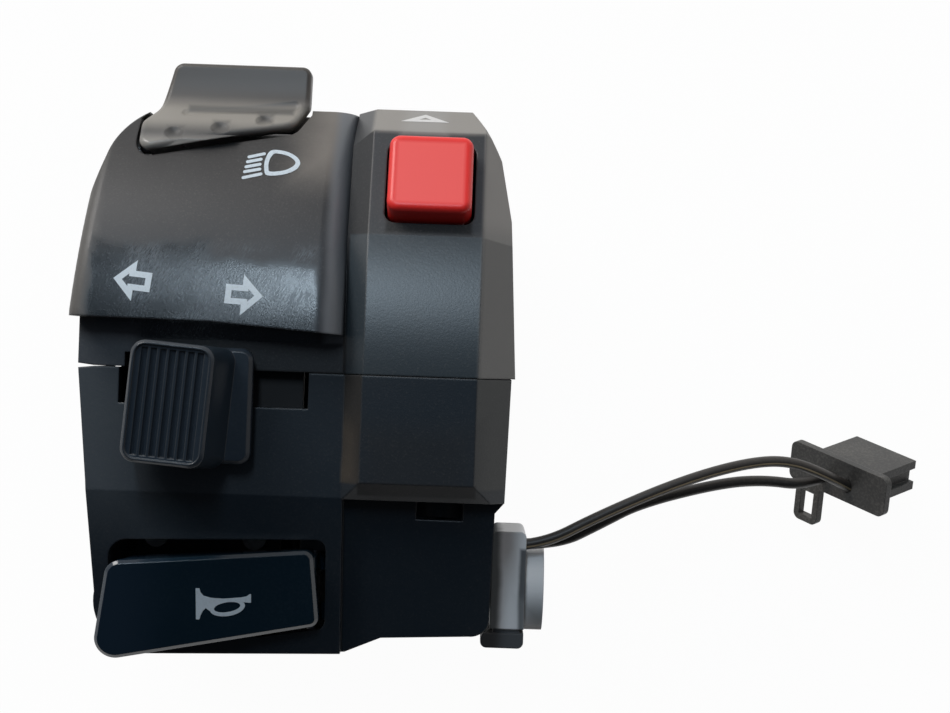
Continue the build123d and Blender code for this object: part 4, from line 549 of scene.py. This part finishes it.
# %% Plain mouldings
moulding_grains = 4200.0
shade_amount = 0.6
shade_gain = 1.25
shade_roughness = 0.08
moulding_rows = [
    ("knob_plastic", (0.012, 0.020, 0.030), 0.30, (0.10, 0.095, 0.09), 0.35, 0.22, 0.03, 0.004),
    ("paddle_plastic", (0.004, 0.014, 0.024), 0.16, (0.08, 0.077, 0.070), 0.25, 0.16, 0.02, 0.002),
    ("lever_plastic", (0.050, 0.049, 0.049), 0.42, (0.10, 0.095, 0.09), 0.25, 0.35, 0.05, 0.005),
    ("red_plastic", (0.80, 0.026, 0.022), 0.34, (0.80, 0.04, 0.035), 0.3, 0.3, 0.03, 0.004),
    ("module_plastic", (0.012, 0.012, 0.013), 0.45, (0.05, 0.05, 0.05), 0.3, 0.2, 0.05, 0.004),
    # The slider is near black partly as painted shade: the knob's shadow falls on it.
    ("slider_plastic", (0.003, 0.003, 0.004), 0.6, (0.012, 0.012, 0.012), 0.3, 0.2, 0.06, 0.004),
    ("switch_body_plastic", (0.02, 0.02, 0.022), 0.45, (0.1, 0.1, 0.1), 0.4, 0.2, 0.1, 0.004),
    ("connector_plastic", (0.016, 0.016, 0.016), 0.5, (0.10, 0.095, 0.085), 0.5, 0.18, 0.45, 0.01),
    ("outlet_rubber", (0.88, 0.88, 0.88), 0.55, (0.5, 0.5, 0.5), 0.3, 0.3, 0.2, 0.02),
]


def moulding(name, colour, roughness, edge_colour, edge_share, radius, dusty, grained):
    """A moulded plastic with rounded, rubbed edges, a little grain and dust."""
    finish = Finish(name, colour, roughness)
    edge = finish.use(edges, {"Radius": radius * mm})
    moulded = finish.use(grain, {"Grains per metre": moulding_grains})
    shaded = tuple(shade_gain * value for value in colour)
    finish.film(dust, shade_amount, shaded, min(1.0, roughness + shade_roughness))
    finish.layer(finish.share(edge["Mask"], edge_share), edge_colour, roughness)
    finish.film(dust, dusty, dust_colour, dust_roughness)
    finish.bumps(moulded["Height"], grained * mm, edge["Normal"])
    return finish


finishes = {row[0]: moulding(*row) for row in moulding_rows}

# %% [markdown]
# ### Patches of the plain mouldings
# The lever's hollow bend is painted lighter where it turns to the window, as painted light, and its low edge has a
# painted highlight; its groove and its three thumb dimples are painted darker as painted shade. The red cap's face is
# painted paler than its rim, a painted sheen. The outlet is pale with grey bands, and the two at its sides are
# painted shade, as on a rounded face. The paddle is painted lighter and bluer at its left end, as painted light. The
# patches are laid over the mouldings in the same way as on the case.

# %% Lever, paddle and outlet patches
lever_patches = [
    ((-far, 10, 37.5, far, 2.5, 1.0), (0.058, 0.051, 0.045), 0.42),
    # The hollow bend, painted light beige: painted light where it turns to the window.
    ((-far, 10, 33.6, 37.4, 1.4, 0.5), (0.25, 0.232, 0.205), 0.5),
    # The groove across the bend, painted darker: painted shade.
    ((-17.7, -2.9, 36.0, 37.1, 0.35, 0.2), (0.11, 0.105, 0.096), 0.5),
    # The low edge, painted light and glossy: a painted highlight.
    ((-far, 10, 20, 31.6, 1.4, 0.8), (0.30, 0.285, 0.26), 0.24),
]
dimple_places = [(-18.9, 32.7), (-12.7, 33.8), (-6.7, 35.2)]
dimple_half, dimple_below, dimple_above, dimple_softness = 0.9, 0.5, 0.7, 0.7
# The thumb dimples are painted darker, reaching further up than down: painted shade.
dimple_shade_patches = [
    ((x - dimple_half, x + dimple_half, y - dimple_below, y + dimple_above, dimple_softness),
     (0.040, 0.039, 0.037), 0.5) for x, y in dimple_places]
finishes["lever_plastic"].patches(lever_patches + dimple_shade_patches)
# The paddle's left part is painted lighter and bluer: painted light from the left.
finishes["paddle_plastic"].patches([((-far, -19, -far, 0, 5.0, 2.0), (0.012, 0.024, 0.040), 0.16)])
finishes["outlet_rubber"].patches([
    # A grey band at the outlet's left side: painted shade, as on a rounded face.
    ((20, 28.6, -far, 0, 0.6, 1.2), (0.19, 0.20, 0.20), 0.6),
    # A darker line at the outlet's right side: painted shade, as on a rounded face.
    ((31.4, 32.5, -far, -25, 0.35, 0.8), (0.14, 0.145, 0.15), 0.6),
    ((32.5, far, -far, -33.5, 2.5, 1.0), (0.36, 0.37, 0.37), 0.6),
    ((0, far, -far, -36.9, 0.3, 0.6), (0.085, 0.088, 0.092), 0.6),
])

# %% Painted sheen on the face of the red cap
panel_tilt = 22.3
cap_x = 17.0
cap_turned_y = 14.30
face_half_inner, face_half_outer = 4.3, 4.8
red = finishes["red_plastic"]
tilt_back = add(red.tree, "Mapping", {
    "Location": (-cap_x * mm, 0, 0), "Rotation": (math.radians(panel_tilt), 0, 0)}, {"Vector": red.place})
turned = add(red.tree, "SeparateXYZ", links={"Vector": tilt_back.outputs["Vector"]})
aside = add(red.tree, "Math", links={0: turned.outputs["X"]}, operation="ABSOLUTE").outputs[0]
along = add(red.tree, "Math", {1: cap_turned_y * mm}, {0: turned.outputs["Y"]}, operation="SUBTRACT").outputs[0]
along = add(red.tree, "Math", links={0: along}, operation="ABSOLUTE").outputs[0]
outward = add(red.tree, "Math", links={0: aside, 1: along}, operation="MAXIMUM").outputs[0]
cap_sheen_mask = add(red.tree, "MapRange", {
    "From Min": face_half_inner * mm, "From Max": face_half_outer * mm, "To Min": 1.0, "To Max": 0.0}, {
    "Value": outward}).outputs["Result"]
# The cap's face is painted paler than its rim: a painted sheen, the window's reflection on the face.
red.layer(cap_sheen_mask, (0.90, 0.088, 0.078), 0.40)

# %% [markdown]
# ### Metals
# Screws and pins are dulled zinc and ground steel, the springs are drawn wire, the contacts are brass. Brushing is a
# noise stretched along one axis. It changes the roughness more than the colour, as on real metal.

# %% Metals
metal_rows = [
    ("screw_steel", (0.42, 0.41, 0.39), 0.38, (900, 900, 5000)),
    ("pin_steel", (0.60, 0.60, 0.61), 0.25, (400, 5000, 5000)),
    ("spring_steel", (0.50, 0.50, 0.51), 0.3, (3000, 3000, 900)),
    ("brass", (0.78, 0.57, 0.26), 0.3, (4000, 700, 4000)),
]
brushed_shade = 0.75
brushed_roughness = 0.18
line_depth = 0.004


def metal(name, colour, roughness, brushed):
    """A metal with fine lines along one axis and slightly uneven colour."""
    finish = Finish(name, colour, roughness, Metallic=1.0)
    stretched = add(finish.tree, "Mapping", {"Scale": brushed}, {"Vector": finish.place})
    lines = add(finish.tree, "TexNoise", {"Scale": 1.0, "Detail": 3.0}, {"Vector": stretched.outputs["Vector"]})
    mask = add(finish.tree, "MapRange", {"From Min": 0.35, "From Max": 0.7}, {"Value": lines.outputs["Fac"]})
    shaded = tuple(brushed_shade * value for value in colour)
    finish.layer(mask.outputs["Result"], shaded, min(1.0, roughness + brushed_roughness))
    finish.film(dust, 0.12, (0.25, 0.22, 0.19), dust_roughness)
    finish.bumps(lines.outputs["Fac"], line_depth * mm)
    return finish


finishes.update({row[0]: metal(*row) for row in metal_rows})

# %% [markdown]
# ### Wire vinyl
# Vinyl insulation is dark, half glossy and a little dusty. The upper wire has a thin tan stripe along it, the colour
# code by which a mechanic tells the wires apart. The curve's own UV map runs along and around the wire, so a narrow
# band of the second coordinate is the stripe.

# %% Wire vinyl
wrinkles_per_metre = 1800.0
wrinkle_depth = 0.01
stripe_middle, stripe_inner, stripe_outer = 0.25, 0.018, 0.03


def vinyl(name, colour, stripe=None):
    """Insulation with an optional stripe that follows the wire."""
    finish = Finish(name, colour, 0.42)
    finish.film(dust, 0.45, (0.10, 0.085, 0.07), 0.6)
    if stripe:
        around = add(finish.tree, "TexCoord").outputs["UV"]
        across = add(finish.tree, "SeparateXYZ", links={"Vector": around}).outputs["Y"]
        offset = add(finish.tree, "Math", {1: stripe_middle}, {0: across}, operation="SUBTRACT").outputs[0]
        offset = add(finish.tree, "Math", links={0: offset}, operation="ABSOLUTE").outputs[0]
        band = add(finish.tree, "MapRange", {
            "From Min": stripe_inner, "From Max": stripe_outer, "To Min": 1.0, "To Max": 0.0}, {
            "Value": offset}).outputs["Result"]
        finish.layer(band, stripe, 0.5)
    wrinkle = finish.use(grain, {"Grains per metre": wrinkles_per_metre})["Height"]
    finish.bumps(wrinkle, wrinkle_depth * mm)
    return finish


finishes["wire_vinyl_striped"] = vinyl("wire_vinyl_striped", (0.030, 0.026, 0.023), (0.34, 0.26, 0.16))
finishes["wire_vinyl_black"] = vinyl("wire_vinyl_black", (0.020, 0.018, 0.017))

# %% [markdown]
# ## Giving each node its finish
# The record groups the nodes by material slot, and each finish above has the name of its slot. The two halves of the
# case share a slot and get finishes of their own.

# %% Assign finishes
case_finishes = {"upper_case": upper, "lower_case": lower}
for part in frame["record"]["subparts"]:
    finish = case_finishes.get(part["node"]) or finishes[part["material_slot"]]
    data = frame["nodes"][part["node"]].data
    data.materials.clear()
    data.materials.append(finish.material)
for slot, wire in wires.items():
    wire.data.materials.append(finishes[slot].material)

# %% [markdown]
# ## Printed marks
# The marks are pad-printed ink: two turn arrows and a headlamp beam on the hood, a horn on the paddle and a small
# hazard triangle on the panel's top bevel. Each is drawn flat as closed outlines, where an outline inside another is
# a hole, made a mesh, cut into narrow strips so that it can bend, and lifted onto the surface that carries it.
# The print stands 0.04 mm proud, like thick ink.


# %% Helper for printed marks
ink_half = 0.05
strip_width = 0.6


def print_mark(name, outlines, height_at, body, finish):
    """A mark from flat outlines in millimetres, laid on the surface height_at(x, y)."""
    data = bpy.data.curves.new(name, "CURVE")
    data.dimensions = "2D"
    data.fill_mode = "BOTH"
    data.extrude = ink_half * mm
    for outline in outlines:
        spline = data.splines.new("POLY")
        spline.points.add(len(outline) - 1)
        for point, (x, y) in zip(spline.points, outline):
            point.co = (x * mm, y * mm, 0, 1)
        spline.use_cyclic_u = True
    flat = bpy.data.objects.new(name + "_outline", data)
    scene.collection.objects.link(flat)
    bpy.context.view_layer.update()
    mesh = bpy.data.meshes.new_from_object(flat.evaluated_get(bpy.context.evaluated_depsgraph_get()))
    bpy.data.objects.remove(flat)
    shape = bmesh.new()
    shape.from_mesh(mesh)
    bmesh.ops.remove_doubles(shape, verts=shape.verts, dist=0.001 * mm)
    low = min(vertex.co.y for vertex in shape.verts)
    high = max(vertex.co.y for vertex in shape.verts)
    strips = int((high - low) / (strip_width * mm))
    for index in range(1, strips + 1):
        level = low + (high - low) * index / (strips + 1)
        whole = shape.verts[:] + shape.edges[:] + shape.faces[:]
        bmesh.ops.bisect_plane(shape, geom=whole, plane_co=(0, level, 0), plane_no=(0, 1, 0))
    for vertex in shape.verts:
        vertex.co.z += height_at(vertex.co.x / mm, vertex.co.y / mm) * mm
    bmesh.ops.recalc_face_normals(shape, faces=shape.faces)
    shape.to_mesh(mesh)
    shape.free()
    mesh.materials.clear()
    mesh.materials.append(finish.material)
    mark = bpy.data.objects.new(name, mesh)
    scene.collection.objects.link(mark)
    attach(mark, body)
    print(name, len(mesh.polygons), "faces")


# %% Heights of the printed surfaces
def hood_height(x, y):
    """The hood is part of a cylinder that lies along the bar."""
    return hood_axis_z + math.sqrt(hood_radius ** 2 - y ** 2)


def plane(x0, y0, z0, run, rise):
    """The height of a tilted plane through a point, with its slopes along X and Y."""
    def height_at(x, y):
        return z0 + run * (x - x0) + rise * (y - y0)

    return height_at


paddle_height = plane(3.5, -29.0, 26.0, -0.142, 0.3)
bevel_height = plane(0.0, 33.5, 23.01, 0.0, -1.804)

# %% Ink
ink_grains = 5200.0
ink_depth = 0.004
ink = Finish("white_print", (0.58, 0.66, 0.72), 0.5)
ink.film(dust, 0.5, (0.36, 0.40, 0.43), 0.6)
ink_grain = ink.use(grain, {"Grains per metre": ink_grains})
ink.layer(ink.share(ink_grain["Speckle"], 0.35), (0.30, 0.34, 0.37))
ink.bumps(ink_grain["Height"], ink_depth * mm)
grey_ink = Finish("grey_print", (0.62, 0.61, 0.60), 0.6)
grey_ink.film(dust, 0.6, (0.46, 0.44, 0.42), 0.65)
grey_ink.bumps(grey_ink.use(grain, {"Grains per metre": ink_grains})["Height"], ink_depth * mm)


# %% Turn arrows
def arrow(tip, tail, half_head, half_shaft, head_length, line):
    """A hollow arrow from its tip to its tail: the outer outline and the hole."""
    along = (Vector(tip) - Vector(tail)).normalized()
    across = Vector((-along.y, along.x))
    slope = math.atan2(half_head, head_length)

    def outline(inset):
        nose = Vector(tip) - along * (inset / math.sin(slope))
        neck = Vector(tip) - along * (head_length - inset)
        back = Vector(tail) + along * inset
        spread = half_head - inset * (1 / math.cos(slope) + math.tan(slope))
        shaft = half_shaft - inset
        return [
            nose, neck + across * spread, neck + across * shaft, back + across * shaft,
            back - across * shaft, neck - across * shaft, neck - across * spread]

    return [outline(0.0), outline(line)]


arrow_sizes = {"half_head": 2.77, "half_shaft": 1.31, "head_length": 2.82, "line": 0.8}
left_arrow = arrow((-24.72, 11.79), (-19.68, 11.33), **arrow_sizes)
right_arrow = arrow((-4.67, 9.98), (-9.71, 10.22), **arrow_sizes)
print_mark("left_turn_mark", left_arrow, hood_height, "housing", ink)
print_mark("right_turn_mark", right_arrow, hood_height, "housing", ink)


# %% Helpers for soft outlines
soft_steps = 5
bar_end_points = 8
bar_half_width = 0.22


def smooth(points):
    """A closed smooth outline through given points."""
    count = len(points)
    soft = []
    for index in range(count):
        before, start, end, after = (Vector(points[(index + step) % count]) for step in (-1, 0, 1, 2))
        for step in range(soft_steps):
            t = step / soft_steps
            soft.append(0.5 * (
                2 * start + (end - before) * t + (2 * before - 5 * start + 4 * end - after) * t ** 2
                + (3 * start - before - 3 * end + after) * t ** 3))
    return soft


def arc(x, y, run_x, rise_y, half_height, start, end, count):
    """Points along part of an ellipse whose long axis runs and rises, between two turns in degrees."""
    turns = [math.radians(start + (end - start) * step / (count - 1)) for step in range(count)]
    return [
        (x + run_x * math.cos(turn), y + rise_y * math.cos(turn) + half_height * math.sin(turn))
        for turn in turns]


def bar(start, end):
    """A straight bar with round ends."""
    along = Vector(end) - Vector(start)
    turn = math.degrees(math.atan2(along.y, along.x))
    size = (bar_half_width, 0.0, bar_half_width)
    return (arc(*start, *size, turn + 90, turn + 270, bar_end_points)
            + arc(*end, *size, turn - 90, turn + 90, bar_end_points))


# %% Headlamp beam mark
beam_lines = [
    ((-8.29, 29.42), (-6.27, 29.97)), ((-8.41, 28.69), (-6.61, 29.14)), ((-8.52, 27.93), (-6.67, 28.38)),
    ((-8.63, 27.21), (-6.62, 27.66)), ((-8.72, 26.33), (-6.38, 26.96))]
beams = [bar(start, end) for start, end in beam_lines]
lens_outside = smooth([
    (-6.08, 28.47), (-5.93, 29.55), (-5.45, 30.45), (-4.45, 30.62), (-2.93, 30.32), (-1.66, 29.6),
    (-1.17, 28.72), (-1.6, 27.82), (-2.82, 27.14), (-4.36, 26.8), (-5.6, 26.84), (-5.95, 27.45)])
lens_inside = smooth([
    (-5.5, 28.49), (-5.36, 29.3), (-4.92, 30.02), (-4.26, 30.06), (-3.04, 29.8), (-2.17, 29.3),
    (-1.81, 28.74), (-2.2, 28.18), (-3.11, 27.66), (-4.42, 27.38), (-5.27, 27.4), (-5.44, 27.85)])
print_mark("beam_mark", [lens_outside, lens_inside, *beams], hood_height, "housing", ink)

# %% Horn mark
bell_top = [
    (-12.6, -29.4), (-12.1, -29.4), (-11.96, -29.96), (-11.58, -30.42), (-10.67, -30.7), (-9.0, -30.8),
    (-6.71, -30.6), (-5.87, -30.42), (-5.45, -30.1), (-5.29, -30.1), (-5.29, -31.32), (-5.62, -31.32)]
loop_outside = arc(-8.43, -32.05, 2.33, 0.33, 1.2, 25, -170, 26)
bell_foot = [(-11.3, -32.15), (-11.7, -32.6), (-11.99, -33.2), (-12.15, -33.77), (-12.6, -33.77)]
horn_hole = arc(-8.46, -31.99, 1.75, 0.29, 0.7, 0, 345, 24)
print_mark("horn_mark", [bell_top + loop_outside + bell_foot, horn_hole], paddle_height, "horn_paddle", ink)

# %% Hazard triangle
hazard = [(12.4, 35.3), (19.1, 35.3), (15.75, 36.6)]
hazard_hole = [(14.9, 35.7), (16.6, 35.7), (15.75, 36.05)]
print_mark("hazard_mark", [hazard, hazard_hole], bevel_height, "housing", grey_ink)

# %% [markdown]
# ## Finish
# The last step updates the view layer once more. The dressed cluster must stay as large
# as the imported one.

# %% Finish
bpy.context.view_layer.update()
